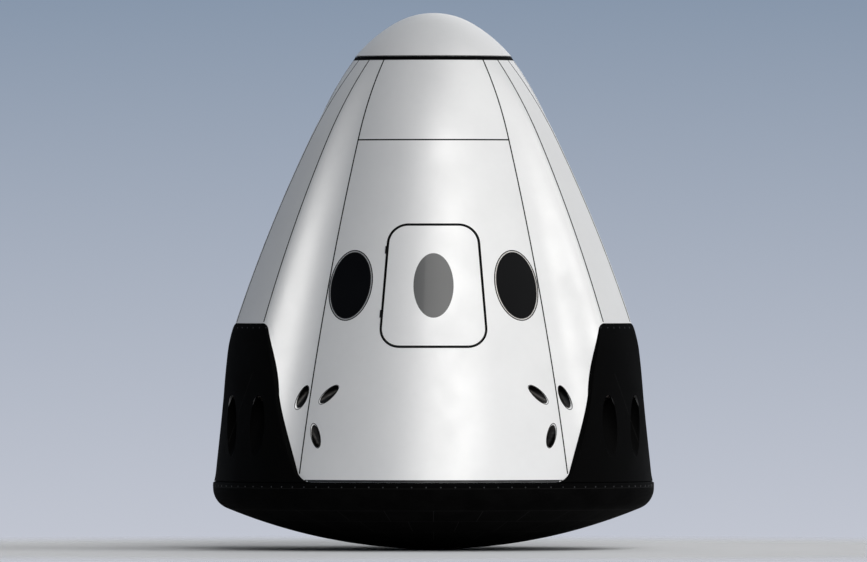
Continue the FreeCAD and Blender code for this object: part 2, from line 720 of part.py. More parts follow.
def make_panels(holes, toes):
    """Front and rear panels, side panels and parachute covers."""
    full = "2 * size.panel_half"
    panes, frames = [], []
    tools = [hatch_prism("hatch_opening", number("size.hatch_gap / 2"))]
    for side, hand in (("left", -1), ("right", 1)):
        azimuth = hand * number("size.window_azimuth")
        name = side + "_window"
        rods = window_tools(name, azimuth, "size.window_up", "size.window_half_wide",
                            "size.window_half_tall", "size.window_rim")
        tools += [rebate(name, azimuth, rods["rebate"]), rods["hole"]]
        pane, frame = glazed(name, azimuth, rods, True)
        panes.append(pane)
        frames.append(frame)
    keep_all("window_glass", panes)
    keep_all("window_frames", frames)
    for name, azimuth in (("front", 0), ("rear", 180)):
        blank = shell(name + "_panel_blank", "worked.shell_low", "worked.cover_up", full, azimuth)
        near = [pod for pod, _ in PODS if pod.startswith(name)]
        bites = [hole for pod in near for hole in holes[pod]] + [toes[pod] for pod in near]
        if name == "front":
            bites = tools + bites
        keep(name + "_panel", cut(name + "_panel", blank, *bites))
        keep(name + "_parachute_cover", shell(
            name + "_parachute_cover", "worked.cover_up", "worked.shell_top", full, azimuth))
    rest = "180 - 2 * (2 * size.pod_middle - size.panel_half)"
    for name, azimuth in (("left", -90), ("right", 90)):
        blank = shell(name + "_side_blank", "worked.shell_low", "worked.shell_top", rest, azimuth)
        near = [toes[pod] for pod, _ in PODS if pod.endswith(name)]
        keep(name + "_side_panel", cut(name + "_side_panel", blank, *near))


# ---------------------------------------------------------------- pods
def make_pods(holes):
    """White covers and flanks, and the black engine fairings with their engines."""
    toes = {}
    flanks, bells = {"front": [], "rear": []}, []
    cover = make_pod_cover()
    flank = pod_loft("worked.shell_low", "size.pod_low", FLANK_SECTIONS)
    for pod, azimuth in PODS:
        place = turned(number(azimuth))
        keep("pod_cover_" + pod, feature("pod_cover_" + pod, cover, place))
        toes[pod] = bell("toe_" + pod, "size.fit")
        toes[pod].Placement = place
        blank = feature("flank_" + pod, flank, place)
        flanks[pod.split("_")[0]].append(cut("sides_" + pod, blank, toes[pod], holes[pod][0]))
        block = bell("bell_" + pod)
        block.Placement = place
        inner = "size.wall"
        sector = revolved("sector_" + pod, (
            (hull("worked.shell_low", inner), "worked.shell_low"),
            ("worked.fairing_low_radius", "worked.shell_low"),
            ("worked.fairing_low_radius - size.fairing_bend_in", "size.fairing_bend_up",
             "size.fairing_crown_arc"),
            ("worked.pod_low_radius", "size.pod_low"),
            (hull("size.pod_low", inner), "size.pod_low",
             "-" + arc_size("size.pod_low", inner))),
            "2 * size.pod_middle - size.panel_half", number(azimuth))
        recesses = []
        for side, letter in ((-1, "a"), (1, "b")):
            name = f"engine_{pod}_{letter}"
            recess, nozzle = engine(name, side, place)
            recesses.append(recess)
            bells.append(nozzle)
        keep("engine_fairing_" + pod, cut(
            "engine_fairing_" + pod, common("block_" + pod, sector, block), *recesses))
    keep_all("engine_nozzles", bells)
    keep_all("front_pod_flanks", flanks["front"])
    keep_all("rear_pod_flanks", flanks["rear"])
    return toes


def engine(name, side, place):
    """One escape engine: the rod that cuts its recess, and its bell."""
    tilt = math.radians(number("size.engine_tilt"))
    plume = Vector(0, -math.sin(tilt), -math.cos(tilt))
    mouth = Vector(side * number("size.engine_offset"),
                   -number("worked.engine_mouth_radius"), number("size.engine_mouth_up"))
    end = mouth - plume * number("size.engine_depth")
    local = along(end, Vector(1, 0, 0), plume.cross(Vector(1, 0, 0)), plume)
    recess = cylinder(name + "_recess", "size.engine_bore", "4 * size.engine_depth",
                      place.multiply(local))
    body = doc.addObject("PartDesign::Body", name)
    skin = "size.engine_skin"
    sketch = outline(body, (
        ("0", "0"),
        ("size.engine_throat", "0"),
        ("size.engine_rim", "size.engine_length"),
        (f"size.engine_rim - {skin}", "size.engine_length"),
        (f"size.engine_throat - {skin}", f"2 * {skin}"),
        ("0", f"2 * {skin}")))
    turn = body.newObject("PartDesign::Revolution", name + "_turn")
    turn.Profile = sketch
    turn.ReferenceAxis = (sketch, ["V_Axis"])
    turn.Angle = 360
    body.Placement = place.multiply(local)
    return recess, body


# ---------------------------------------------------------------- nose
def make_nose():
    """Nose ring, nose cone, forward bulkhead, docking tunnel and ring, forward thrusters."""
    keep("nose_ring", revolved("nose_ring", (
        ("size.top_radius - size.wall", "worked.shell_top"),
        ("size.top_radius", "worked.shell_top"),
        ("worked.nose_ring_radius", "worked.nose_ring_top"),
        ("worked.nose_ring_radius - size.nose_ring_wide", "worked.nose_ring_top"))))
    skin = "size.dome_wall"
    side = "(size.dome_side_arc - size.dome_wall)"
    cap_tall = "(worked.dome_top - worked.dome_knee_up)"
    cap = f"((size.dome_knee_radius^2 + {cap_tall}^2) / (2 * {cap_tall}))"
    share = f"{skin} / {cap}"
    keep("nose_cone", revolved("nose_cone", (
        ("worked.dome_radius", "worked.dome_low", "size.dome_side_arc"),
        ("size.dome_knee_radius", "worked.dome_knee_up", "axis"),
        ("0", "worked.dome_top"),
        ("0", f"worked.dome_top - {skin}", "-axis"),
        (f"size.dome_knee_radius * (1 - {share})",
         f"worked.dome_knee_up - {share} * ({cap} - {cap_tall})", "-" + side),
        (on_arc("side", "worked.dome_low", skin), "worked.dome_low"))))
    tunnel = "(size.tunnel_radius + size.tunnel_wall)"
    low = "(worked.bulkhead_up - size.bulkhead_thick)"
    keep("forward_bulkhead", revolved("forward_bulkhead", (
        (tunnel, low),
        (f"{hull('worked.bulkhead_up', 'size.wall')} - size.fit", low),
        (f"{hull('worked.bulkhead_up', 'size.wall')} - size.fit", "worked.bulkhead_up"),
        (tunnel, "worked.bulkhead_up"))))
    keep("docking_tunnel", revolved("docking_tunnel", (
        ("size.tunnel_radius", "size.ceiling_up"),
        (tunnel, "size.ceiling_up"),
        (tunnel, "worked.tunnel_top"),
        ("size.tunnel_radius", "worked.tunnel_top"))))
    guide = "(worked.tunnel_top + size.docking_thick)"
    keep("docking_ring", revolved("docking_ring", (
        ("size.tunnel_radius", "worked.tunnel_top"),
        ("worked.docking_radius", "worked.tunnel_top"),
        ("worked.docking_radius", f"{guide} - size.petal_thick"),
        ("worked.docking_radius - size.tunnel_wall", guide),
        ("size.tunnel_radius + 2 * size.tunnel_wall", guide),
        ("size.tunnel_radius", f"{guide} - size.petal_thick"))))
    mouth = "(worked.bulkhead_up + size.nose_thruster_tall)"
    out = number(f"{hull(mouth, 'size.wall')} - size.nose_thruster_room"
                 " - size.nose_thruster_rim")
    cups = []
    for index in range(FORWARD_THRUSTERS):
        name = f"forward_thruster_{index}"
        body = revolved(name, (
            ("0", "0"),
            ("size.nose_thruster_rim / 2", "0"),
            ("size.nose_thruster_rim", "size.nose_thruster_tall"),
            ("size.nose_thruster_rim - size.thruster_skin", "size.nose_thruster_tall"),
            ("size.nose_thruster_rim / 2 - size.thruster_skin", "2 * size.thruster_skin"),
            ("0", "2 * size.thruster_skin")))
        azimuth = (index + 0.5) * 360 / FORWARD_THRUSTERS
        body.Placement = Placement(at(azimuth, out, number("worked.bulkhead_up")), Rotation())
        cups.append(body)
    keep_all("forward_thrusters", cups)


# ---------------------------------------------------------------- cabin
def make_cabin():
    """Floor, ceiling, the tank block under the floor, seats and the control display."""
    low = "(size.floor_up - size.floor_thick)"
    edge = f"{hull('size.floor_up', 'size.wall')} - size.fit"
    keep("cabin_floor", revolved("cabin_floor", (
        ("0", low), (edge, low), (edge, "size.floor_up"), ("0", "size.floor_up"))))
    high = "(size.ceiling_up + size.ceiling_thick)"
    edge = f"{hull(high, 'size.wall')} - size.fit"
    tunnel = "(size.tunnel_radius + size.tunnel_wall)"
    keep("cabin_ceiling", revolved("cabin_ceiling", (
        (tunnel, "size.ceiling_up"), (edge, "size.ceiling_up"), (edge, high), (tunnel, high))))
    keep("propellant_tanks", cylinder(
        "propellant_tanks", "size.tank_radius", f"{low} - size.tank_low",
        Placement(Vector(0, 0, number("size.tank_low")), Rotation())))
    make_seats()
    stem = "size.ceiling_up - size.screen_up"
    out = -number("size.screen_out")
    screen = box("screen", "size.screen_wide", "size.screen_thick", "size.screen_tall",
                 Vector(0, out, number("size.screen_up")))
    arm = box("screen_arm", "size.beam", "size.screen_thick", stem,
              Vector(0, out, number("(size.ceiling_up + size.screen_up) / 2")))
    both = doc.addObject("Part::Fuse", "control_display")
    both.Base = screen
    both.Tool = arm
    keep("control_display", both)


def make_seats():
    """Four reclined seats side by side on one frame, with separate cushions."""
    lean = Rotation(Vector(1, 0, 0), -number("size.seat_recline"))
    pad, thick = number("size.seat_pad"), number("size.seat_shell")
    front, long = number("size.seat_front"), number("size.seat_long")
    top, beam = number("size.seat_up"), number("size.beam")
    floor = number("size.floor_up")
    back_long, head_long = number("size.seat_back"), number("size.head_long")
    skin = thick / 2 + number("size.fit")
    hip = Vector(0, front + long, top)
    back_low = number("size.back_lift")
    head_low = back_low + back_long + number("size.head_lift")
    shell_long = (f"size.seat_pad + size.seat_shell + {head_low} + size.head_long")
    pans, backs, heads, frame = [], [], [], []
    for index in range(SEATS):
        across = Vector((index - (SEATS - 1) / 2) * number("size.seat_pitch"), 0, 0)
        pans.append(box(f"pan_{index}", "size.seat_wide", "size.seat_long", "size.seat_pad",
                        across + Vector(0, front + long / 2, top - pad / 2)))

        def reclined(up, out):
            return across + hip + lean.multVec(Vector(0, out, up))

        backs.append(box(f"back_{index}", "size.seat_wide", "size.seat_pad", "size.seat_back",
                         reclined(back_low + back_long / 2, pad / 2), lean))
        heads.append(box(f"head_{index}", "size.seat_wide / 2", "size.seat_pad",
                         "size.head_long",
                         reclined(head_low + head_long / 2, pad / 2), lean))
        frame.append(box(f"tray_{index}", "size.seat_wide", "size.seat_long + size.seat_pad",
                         "size.seat_shell",
                         across + Vector(0, front + (long + pad) / 2, top - pad - skin)))
        frame.append(box(f"shell_{index}", "size.seat_wide", "size.seat_shell", shell_long,
                         reclined(number(shell_long) / 2 - pad - thick, pad + skin), lean))
    width = f"{SEATS - 1} * size.seat_pitch + size.seat_wide"
    tall = "size.seat_up - size.seat_pad - size.seat_shell - size.fit - size.floor_up"
    beam_top = top - pad - skin - thick / 2
    for index, place in enumerate((front + beam, front + long)):
        frame.append(box(f"beam_{index}", width, "size.beam", "size.beam",
                         Vector(0, place, beam_top - beam / 2)))
        for leg in (-1, 1):
            frame.append(box(f"leg_{index}_{leg + 1}", "size.beam", "size.beam", tall,
                             Vector(leg * number("size.seat_pitch"), place,
                                    (beam_top + floor) / 2)))
    fused = doc.addObject("Part::MultiFuse", "seat_frame")
    fused.Shapes = frame
    keep("seat_frame", fused)
    keep_all("seat_pans", pans)
    keep_all("seat_backs", backs)
    keep_all("headrests", heads)


# ---------------------------------------------------------------- closures
def barrel(centre, axis, length, radius):
    """A solid cylinder centred on a point."""
    return Part.makeCylinder(radius, length, centre - axis * (length / 2), axis)


def slab(centre, axes, sizes):
    """A box centred on a point, with its sides along three directions."""
    shape = Part.makeBox(*sizes, Vector(*sizes) / -2)
    shape.Placement = along(centre, *axes)
    return shape


def hinge(names, carriers, origin, axis, ways, arms, half, radius, sink=Vector()):
    """Two hinges on one axis: the fixed barrels with their pins, and the moving barrels.

    names, carriers, ways and arms come in pairs, fixed then moving.  Each way is the
    direction from the axis to what carries the barrel: a flat bar as long as the arm,
    shifted by sink, runs that way and is cut off where it meets its carrier.
    """
    length, gap = number("size.barrel_length"), number("size.barrel_gap")
    pin = radius / 2
    for name, carrier, way, arm, shift in zip(names, carriers, ways, arms, (-1, 1)):
        shapes = []
        for side in (-1, 1):
            middle = origin + axis * (side * half)
            centre = middle + axis * (shift * (length + gap) / 2)
            bar = slab(centre + way * (arm / 2) + sink, (axis, way, axis.cross(way)),
                       (length, arm, radius * number("size.hinge_bar")))
            shape = barrel(centre, axis, length, radius).fuse(bar)
            if shift > 0:
                bore = barrel(centre, axis, length + 2 * gap, pin + number("size.pin_fit"))
                shape = shape.cut(bore)
            else:
                shape = shape.fuse(barrel(middle + axis * (gap / 2), axis, 2 * length, pin))
            shapes.append(shape.removeSplitter())
        blank = feature(name + "_blank", Part.makeCompound(shapes))
        keep(name, cut(name, blank, nodes[carrier]))


def make_side_hatch():
    """The side hatch with its window, and its hinges in the left gap."""
    grow = number("size.hatch_gap / -2")
    rods = window_tools("hatch_window", 0, "size.window_up", "size.port_half_wide",
                        "size.port_half_tall", "size.fit")
    blank = shell("side_hatch_blank", "size.hatch_low - size.wall",
                  "size.hatch_high + size.wall", WINDOW_SECTOR, 0)
    door = common("side_hatch_door", blank, hatch_prism("side_hatch_edge", grow))
    recess = rebate("hatch_window", 0, rods["rebate"])
    keep("side_hatch", cut("side_hatch", door, recess, rods["hole"]))
    pane, _ = glazed("hatch_window", 0, rods, False)
    keep("hatch_window", pane)


def hatch_axis():
    """Middle and downward direction of the side hatch's hinge, in its left gap."""
    azimuth = -number("size.hatch_half")
    origin, away, up, outwards = surface_frame(azimuth, azimuth, "size.hatch_up")
    return origin, up * -1


def make_hinges():
    """Hinges of the side hatch, the nose cone and the forward hatch."""
    origin, axis = hatch_axis()
    _, across, _, outwards = surface_frame(0, 0, "size.hatch_up")
    across = (across - axis * across.dot(axis)).normalize()
    radius = number("size.hatch_barrel")
    arm = number("size.hatch_gap")
    hinge(("hatch_hinge_lugs", "hatch_hinge_leaves"), ("front_panel", "side_hatch"),
          origin, axis, (across * -1, across), (arm, arm),
          number("size.hatch_hinge_half"), radius, outwards * (-radius / 2))

    origin = Vector(0, number("worked.nose_ring_radius + size.nose_pin_out"),
                    number("worked.nose_ring_top + size.nose_pin_rise"))
    inward = Vector(0, -1, 0)
    fall = math.radians(number("size.nose_lug_fall"))
    falling = inward * math.cos(fall) - Vector(0, 0, math.sin(fall))
    hinge(("nose_hinge_lugs", "nose_hinge_arms"), ("nose_ring", "nose_cone"),
          origin, Vector(-1, 0, 0), (falling, inward),
          (number("size.nose_lug"), number("size.nose_arm")),
          number("size.nose_hinge_half"), number("size.nose_barrel"))

    drop = number("size.lid_gap + size.lid_thick / 2")
    origin = Vector(0, number("worked.lid_radius + size.lid_pin_out"),
                    number("size.ceiling_up") - drop)
    hinge(("forward_hatch_lugs", "forward_hatch_arms"), ("cabin_ceiling", "forward_hatch"),
          origin, Vector(1, 0, 0), (Vector(0, 0, 1), inward),
          (drop, number("2 * size.lid_pin_out")),
          number("size.lid_hinge_half"), number("size.lid_barrel"))


def make_forward_hatch():
    """The round lid under the docking tunnel."""
    high = "(size.ceiling_up - size.lid_gap)"
    keep("forward_hatch", revolved("forward_hatch", (
        ("0", f"{high} - size.lid_thick"),
        ("worked.lid_radius", f"{high} - size.lid_thick"),
        ("worked.lid_radius", high),
        ("0", high))))


# ---------------------------------------------------------------- build, check, write
make_base()
thruster_holes = make_thrusters()
fairing_toes = make_pods(thruster_holes)
make_panels(thruster_holes, fairing_toes)
make_nose()
make_cabin()
make_side_hatch()
make_forward_hatch()
make_hinges()
doc.recompute()

faults = [f"{thing.Label}: {thing.State}" for thing in doc.Objects
          if "Invalid" in thing.State or "Error" in thing.State]
for label, thing in nodes.items():
    if thing.Shape.isNull() or not thing.Shape.isValid() or not thing.Shape.Solids:
        faults.append(f"{label}: bad shape")
if faults:
    raise SystemExit("\n".join(faults))

os.makedirs("parts", exist_ok=True)
for label, thing in nodes.items():
    thing.Shape.exportStep(f"parts/{label}.step")
print(len(nodes), "sub-parts written")
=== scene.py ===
"""Looks of the crew capsule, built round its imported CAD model.

Metres, +Z up along the hull's axis; the side hatch faces -Y.  Azimuths are in degrees
from -Y, positive towards +X.  Details are laid on the CAD skin by casting rays at it.
"""
import bpy
import bmesh
import math
from mathutils import Matrix, Vector
from mathutils.bvhtree import BVHTree


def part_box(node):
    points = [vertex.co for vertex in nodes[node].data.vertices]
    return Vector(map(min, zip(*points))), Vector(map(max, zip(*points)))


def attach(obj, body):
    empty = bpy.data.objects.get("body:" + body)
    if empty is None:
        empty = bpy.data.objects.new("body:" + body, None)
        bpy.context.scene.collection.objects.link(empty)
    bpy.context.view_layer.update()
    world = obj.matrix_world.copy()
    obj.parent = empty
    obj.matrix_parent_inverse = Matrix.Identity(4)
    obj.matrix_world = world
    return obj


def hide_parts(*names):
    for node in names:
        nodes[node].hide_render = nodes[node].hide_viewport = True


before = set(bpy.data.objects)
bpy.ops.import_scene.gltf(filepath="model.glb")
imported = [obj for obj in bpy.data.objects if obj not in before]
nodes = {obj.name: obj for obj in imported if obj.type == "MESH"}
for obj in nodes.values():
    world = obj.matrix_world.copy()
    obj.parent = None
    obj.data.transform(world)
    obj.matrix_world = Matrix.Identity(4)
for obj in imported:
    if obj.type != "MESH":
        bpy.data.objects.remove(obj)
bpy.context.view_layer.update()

PODS = ("front_left", "front_right", "rear_left", "rear_right")
WHITE_SKIN = ("front_panel", "rear_panel", "left_side_panel", "right_side_panel",
              "front_parachute_cover", "rear_parachute_cover",
              "front_pod_flanks", "rear_pod_flanks",
              *("pod_cover_" + pod for pod in PODS))
BLACK_SKIN = ("base_ring", "heat_shield", *("engine_fairing_" + pod for pod in PODS))

# Driving dimensions: the heights come from the CAD nodes' own boxes.
SHELL_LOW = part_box("front_panel")[0].z
COVER_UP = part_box("front_parachute_cover")[0].z
SHELL_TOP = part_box("front_parachute_cover")[1].z
FLOOR_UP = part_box("cabin_floor")[1].z
CEILING_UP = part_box("cabin_ceiling")[0].z
PANEL_HALF = 38
STRIP_EDGES = (53, 68)
POD_FAR = 83
SEAM_HALF = 0.0066
SEAM_RISE = 0.0008
SEAM_LOOK = 0.03

HATCH_HALF = 16.8
HATCH_LOW, HATCH_HIGH = 1.840, 2.939

WINDOW_AZIMUTH = 29.3
WINDOW_UP = 2.392
WINDOW_HALF = (0.219, 0.328)
WINDOW_RIM = 0.020

# Side thrusters of a front pod: azimuth, height, how far the skin stands proud of the
# hull, the azimuth that it faces, and the plume's heading from straight up.
THRUSTERS = ((40.5, 1.383, 0.011, 24.3, 157),
             (31.8, 1.406, 0.0, 31.8, 132),
             (34.3, 1.043, 0.0, 34.3, 23))
THRUSTER_BORE = 0.046
THRUSTER_LEAN = 22.8


# ---------------------------------------------------------------- geometry helpers
def at(azimuth, radius, height):
    """A point from its azimuth in degrees, its distance from the axis and its height."""
    turn = math.radians(azimuth)
    return Vector((radius * math.sin(turn), -radius * math.cos(turn), height))


def tree_of(*names):
    """Ray-casting tree over some CAD nodes."""
    points, faces = [], []
    for name in names:
        mesh = nodes[name].data
        first = len(points)
        points += [v.co.copy() for v in mesh.vertices]
        faces += [[first + i for i in p.vertices] for p in mesh.polygons]
    return BVHTree.FromPolygons(points, faces)


white_tree = tree_of(*WHITE_SKIN)
hull_tree = tree_of(*WHITE_SKIN, *BLACK_SKIN, "side_hatch")
hatch_tree = tree_of("side_hatch")


def cast(tree, origin, direction):
    """First hit of a ray and the surface's normal against the ray, or None."""
    direction = direction.normalized()
    hit, normal, _, _ = tree.ray_cast(origin, direction)
    if hit is None:
        return None
    return hit, (-normal if normal.dot(direction) > 0 else normal)


def skin(azimuth, height, tree=white_tree):
    """Point and outward normal of the skin at an azimuth and height."""
    return cast(tree, at(azimuth, 3, height), -at(azimuth, 1, 0))


def lining(azimuth, height, tree=white_tree):
    """Point and inward normal of the wall's inner face."""
    return cast(tree, Vector((0, 0, height)), at(azimuth, 1, 0))


def finish_mesh(name, build, material, body, smooth=35):
    """An object from a bmesh, smooth up to an edge angle, riding on a body."""
    mesh = bpy.data.meshes.new(name)
    bmesh.ops.recalc_face_normals(build, faces=build.faces)
    build.to_mesh(mesh)
    build.free()
    mesh.shade_smooth()
    mesh.set_sharp_from_angle(angle=math.radians(smooth))
    thing = bpy.data.objects.new(name, mesh)
    bpy.context.scene.collection.objects.link(thing)
    mesh.materials.append(material)
    if body:
        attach(thing, body)
    return thing


def add_sweep(build, path, normals, section, closed=False):
    """Sweep a closed section of (side, out) offsets along a path on a surface."""
    rings = []
    count = len(path)
    for i, (point, normal) in enumerate(zip(path, normals)):
        before = path[i - 1] if closed or i else path[i]
        after = path[(i + 1) % count] if closed or i < count - 1 else path[i]
        side = (after - before).cross(normal).normalized()
        rings.append([build.verts.new(point + side * s + normal * o) for s, o in section])
    pairs = list(zip(rings, rings[1:])) + ([(rings[-1], rings[0])] if closed else [])
    for first, second in pairs:
        for i in range(len(section)):
            j = (i + 1) % len(section)
            build.faces.new((first[i], first[j], second[j], second[i]))
    if not closed:
        build.faces.new(rings[0])
        build.faces.new(rings[-1][::-1])


def strip(half, rise, sink=0.001):
    """Section of a flat strip with eased edges, let into the surface by sink."""
    return ((-half, -sink), (-half, rise * 0.4), (-half * 0.7, rise),
            (half * 0.7, rise), (half, rise * 0.4), (half, -sink))


def round_section(radius, count=8):
    """Section of a round bar."""
    return [(radius * math.cos(2 * math.pi * i / count), radius * math.sin(2 * math.pi * i / count))
            for i in range(count)]


def add_lathe(build, profile, count=96, centre=Vector(), turn=Matrix(), closed=True):
    """Turn a profile of (radius, height) about the local Z axis."""
    rings = []
    for i in range(count):
        angle = 2 * math.pi * i / count
        ring = [turn @ Vector((r * math.cos(angle), r * math.sin(angle), z)) + centre
                for r, z in profile]
        rings.append([build.verts.new(p) for p in ring])
    steps = len(profile) if closed else len(profile) - 1
    for i in range(count):
        first, second = rings[i], rings[(i + 1) % count]
        for j in range(steps):
            k = (j + 1) % len(profile)
            build.faces.new((first[j], second[j], second[k], first[k]))
    bmesh.ops.remove_doubles(build, verts=build.verts, dist=1e-6)


def add_block(build, centre, axes, sizes, bevel=0.0, segments=2):
    """A box with its sides along three directions and eased edges."""
    made = bmesh.ops.create_cube(build, size=1)
    corners = made["verts"]
    matrix = Matrix(axes).transposed()
    for v in corners:
        v.co = centre + matrix @ Vector(c * s for c, s in zip(v.co, sizes))
    if bevel:
        edges = list({e for v in corners for e in v.link_edges})
        bmesh.ops.bevel(build, geom=edges, offset=bevel, segments=segments,
                        profile=0.6, affect="EDGES")


def turn_to(direction, up=Vector((0, 0, 1))):
    """Rotation whose local Z runs along a direction."""
    z = direction.normalized()
    x = up.cross(z)
    if x.length < 1e-4:
        x = Vector((1, 0, 0))
    x.normalize()
    return Matrix((x, z.cross(x), z)).transposed()


# ---------------------------------------------------------------- materials
def mesh_nodes(name):
    """A material and shortcuts to add nodes and links to it."""
    material = bpy.data.materials.new(name)
    material.use_nodes = True
    tree = material.node_tree
    shader = tree.nodes["Principled BSDF"]

    def add(kind, inputs=(), **values):
        node = tree.nodes.new("ShaderNode" + kind)
        for key, value in values.items():
            setattr(node, key, value)
        for key, value in dict(inputs).items():
            if hasattr(value, "is_linked"):
                tree.links.new(value, node.inputs[key])
            else:
                node.inputs[key].default_value = value
        return node

    return material, shader, add, tree.links.new


def set_shader(shader, roughness, metallic=0.0, specular=0.5, coat=0.0, coat_roughness=0.1,
               coat_ior=1.5, sheen=0.0):
    """Constants that are the same all over a surface, on the shader's own sockets."""
    for socket, value in (("Roughness", roughness), ("Metallic", metallic),
                          ("Specular IOR Level", specular), ("Coat Weight", coat),
                          ("Coat Roughness", coat_roughness), ("Coat IOR", coat_ior),
                          ("Sheen Weight", sheen)):
        shader.inputs[socket].default_value = value


def varied(add, coords, scale, low, high, detail=3, stretch=(1, 1, 1)):
    """A noise between two colours or values, as a colour."""
    spread = add("Mapping", {"Vector": coords, "Scale": stretch})
    noise = add("TexNoise", {"Vector": spread.outputs[0], "Scale": scale, "Detail": detail})
    ramp = add("MapRange", {"Value": noise.outputs["Fac"], "From Min": 0.3, "From Max": 0.7,
                            "To Min": 0.0, "To Max": 1.0})
    mix = add("Mix", {"Factor": ramp.outputs[0]}, data_type="RGBA")
    mix.inputs[6].default_value = (*low, 1)
    mix.inputs[7].default_value = (*high, 1)
    return mix.outputs[2]


def painted(name, low, high, scale, rough, rough_spread, bump_scale, bump, stretch=(1, 1, 1),
            **constants):
    """Paint, metal or moulding with colour, gloss and texture that vary a little."""
    material, shader, add, link = mesh_nodes(name)
    set_shader(shader, rough, **constants)
    coords = add("TexCoord").outputs["Object"]
    link(varied(add, coords, scale, low, high, 4, stretch), shader.inputs["Base Color"])
    noise = add("TexNoise", {"Vector": coords, "Scale": scale * 3, "Detail": 4})
    gloss = add("MapRange", {"Value": noise.outputs["Fac"], "From Min": 0.3, "From Max": 0.7,
                             "To Min": rough - rough_spread, "To Max": rough + rough_spread})
    link(gloss.outputs[0], shader.inputs["Roughness"])
    grain = add("TexNoise", {"Vector": coords, "Scale": bump_scale, "Detail": 3})
    raised = add("Bump", {"Height": grain.outputs["Fac"], "Strength": bump, "Distance": 0.001})
    link(raised.outputs[0], shader.inputs["Normal"])
    return material


def grey(value):
    return (value, value, value)


def hull_paint(name, low, high, rough, bump, **constants):
    """Paint outside and a pale lining inside, told apart by the way it faces."""
    material, shader, add, link = mesh_nodes(name)
    set_shader(shader, rough, **constants)
    place = add("TexCoord")
    coords = place.outputs["Object"]
    outside = varied(add, coords, 0.9, low, high, 5, (1, 1, 0.35))
    fine = varied(add, coords, 14, grey(0.985), grey(1.0), 5)
    outside = add("Mix", {"Factor": 1.0, 6: outside, 7: fine}, data_type="RGBA",
                  blend_type="MULTIPLY").outputs[2]
    inside = varied(add, coords, 6, (0.42, 0.43, 0.44), (0.5, 0.51, 0.52), 4)
    flat = add("VectorMath", {0: coords, 1: (1, 1, 0)}, operation="MULTIPLY").outputs[0]
    radial = add("VectorMath", {0: flat}, operation="NORMALIZE").outputs[0]
    facing = add("VectorMath", {0: place.outputs["Normal"], 1: radial},
                 operation="DOT_PRODUCT").outputs["Value"]
    within = add("MapRange", {"Value": facing, "From Min": -0.62, "From Max": -0.55,
                              "To Min": 1.0, "To Max": 0.0}).outputs[0]
    colour = add("Mix", {"Factor": within, 6: outside, 7: inside}, data_type="RGBA")
    link(colour.outputs[2], shader.inputs["Base Color"])
    noise = add("TexNoise", {"Vector": coords, "Scale": 3.0, "Detail": 5})
    gloss = add("MapRange", {"Value": noise.outputs["Fac"], "From Min": 0.3, "From Max": 0.7,
                             "To Min": rough - 0.04, "To Max": rough + 0.04}).outputs[0]
    link(gloss, shader.inputs["Roughness"])
    peel = add("TexNoise", {"Vector": coords, "Scale": 160, "Detail": 2})
    waves = add("TexNoise", {"Vector": coords, "Scale": 2.2, "Detail": 2})
    height = add("Math", {0: waves.outputs["Fac"], 1: 2.2, 2: peel.outputs["Fac"]},
                 operation="MULTIPLY_ADD").outputs[0]
    raised = add("Bump", {"Height": height, "Strength": bump, "Distance": 0.004})
    link(raised.outputs[0], shader.inputs["Normal"])
    return material


def ablative(name, low, high):
    """Charcoal tile material: mottled, granular and matt."""
    material, shader, add, link = mesh_nodes(name)
    set_shader(shader, 0.85, specular=0.02)
    coords = add("TexCoord").outputs["Object"]
    link(varied(add, coords, 5, low, high, 6), shader.inputs["Base Color"])
    cells = add("TexVoronoi", {"Vector": coords, "Scale": 240})
    grains = add("TexNoise", {"Vector": coords, "Scale": 60, "Detail": 6})
    height = add("Math", {0: cells.outputs["Distance"], 1: 0.4, 2: grains.outputs["Fac"]},
                 operation="MULTIPLY_ADD").outputs[0]
    raised = add("Bump", {"Height": height, "Strength": 0.35, "Distance": 0.002})
    link(raised.outputs[0], shader.inputs["Normal"])
    return material


def tinted_glass(name, low, high, roughness, specular, coat):
    """Dark coated glass that shows a soft depth but not the cabin behind it."""
    material, shader, add, link = mesh_nodes(name)
    set_shader(shader, roughness, specular=specular, coat=coat, coat_roughness=0.05)
    coords = add("TexCoord").outputs["Object"]
    link(varied(add, coords, 1.6, low, high, 2), shader.inputs["Base Color"])
    film = add("TexNoise", {"Vector": coords, "Scale": 9, "Detail": 3})
    raised = add("Bump", {"Height": film.outputs["Fac"], "Strength": 0.03, "Distance": 0.002})
    link(raised.outputs[0], shader.inputs["Normal"])
    return material


def woven(name, low, high, pitch):
    """Fabric with a plain weave, soft sheen and faint soiling."""
    material, shader, add, link = mesh_nodes(name)
    set_shader(shader, 0.85, specular=0.2, sheen=0.35)
    coords = add("TexCoord").outputs["Object"]
    weave = []
    for axis in ("X", "Y", "Z"):
        bands = add("TexWave", {"Vector": coords, "Scale": 0.5 / pitch, "Distortion": 0.6,
                                "Detail": 1}, wave_type="BANDS", bands_direction=axis)
        weave.append(bands.outputs["Fac"])
    sum_one = add("Math", {0: weave[0], 1: weave[1]}, operation="MULTIPLY").outputs[0]
    height = add("Math", {0: sum_one, 1: weave[2]}, operation="ADD").outputs[0]
    base = varied(add, coords, 7, low, high, 5)
    thread = add("Mix", {"Factor": height, 6: base}, data_type="RGBA", blend_type="MULTIPLY")
    thread.inputs[7].default_value = (0.8, 0.8, 0.8, 1)
    link(thread.outputs[2], shader.inputs["Base Color"])
    raised = add("Bump", {"Height": height, "Strength": 0.4, "Distance": pitch * 0.5})
    link(raised.outputs[0], shader.inputs["Normal"])
    return material


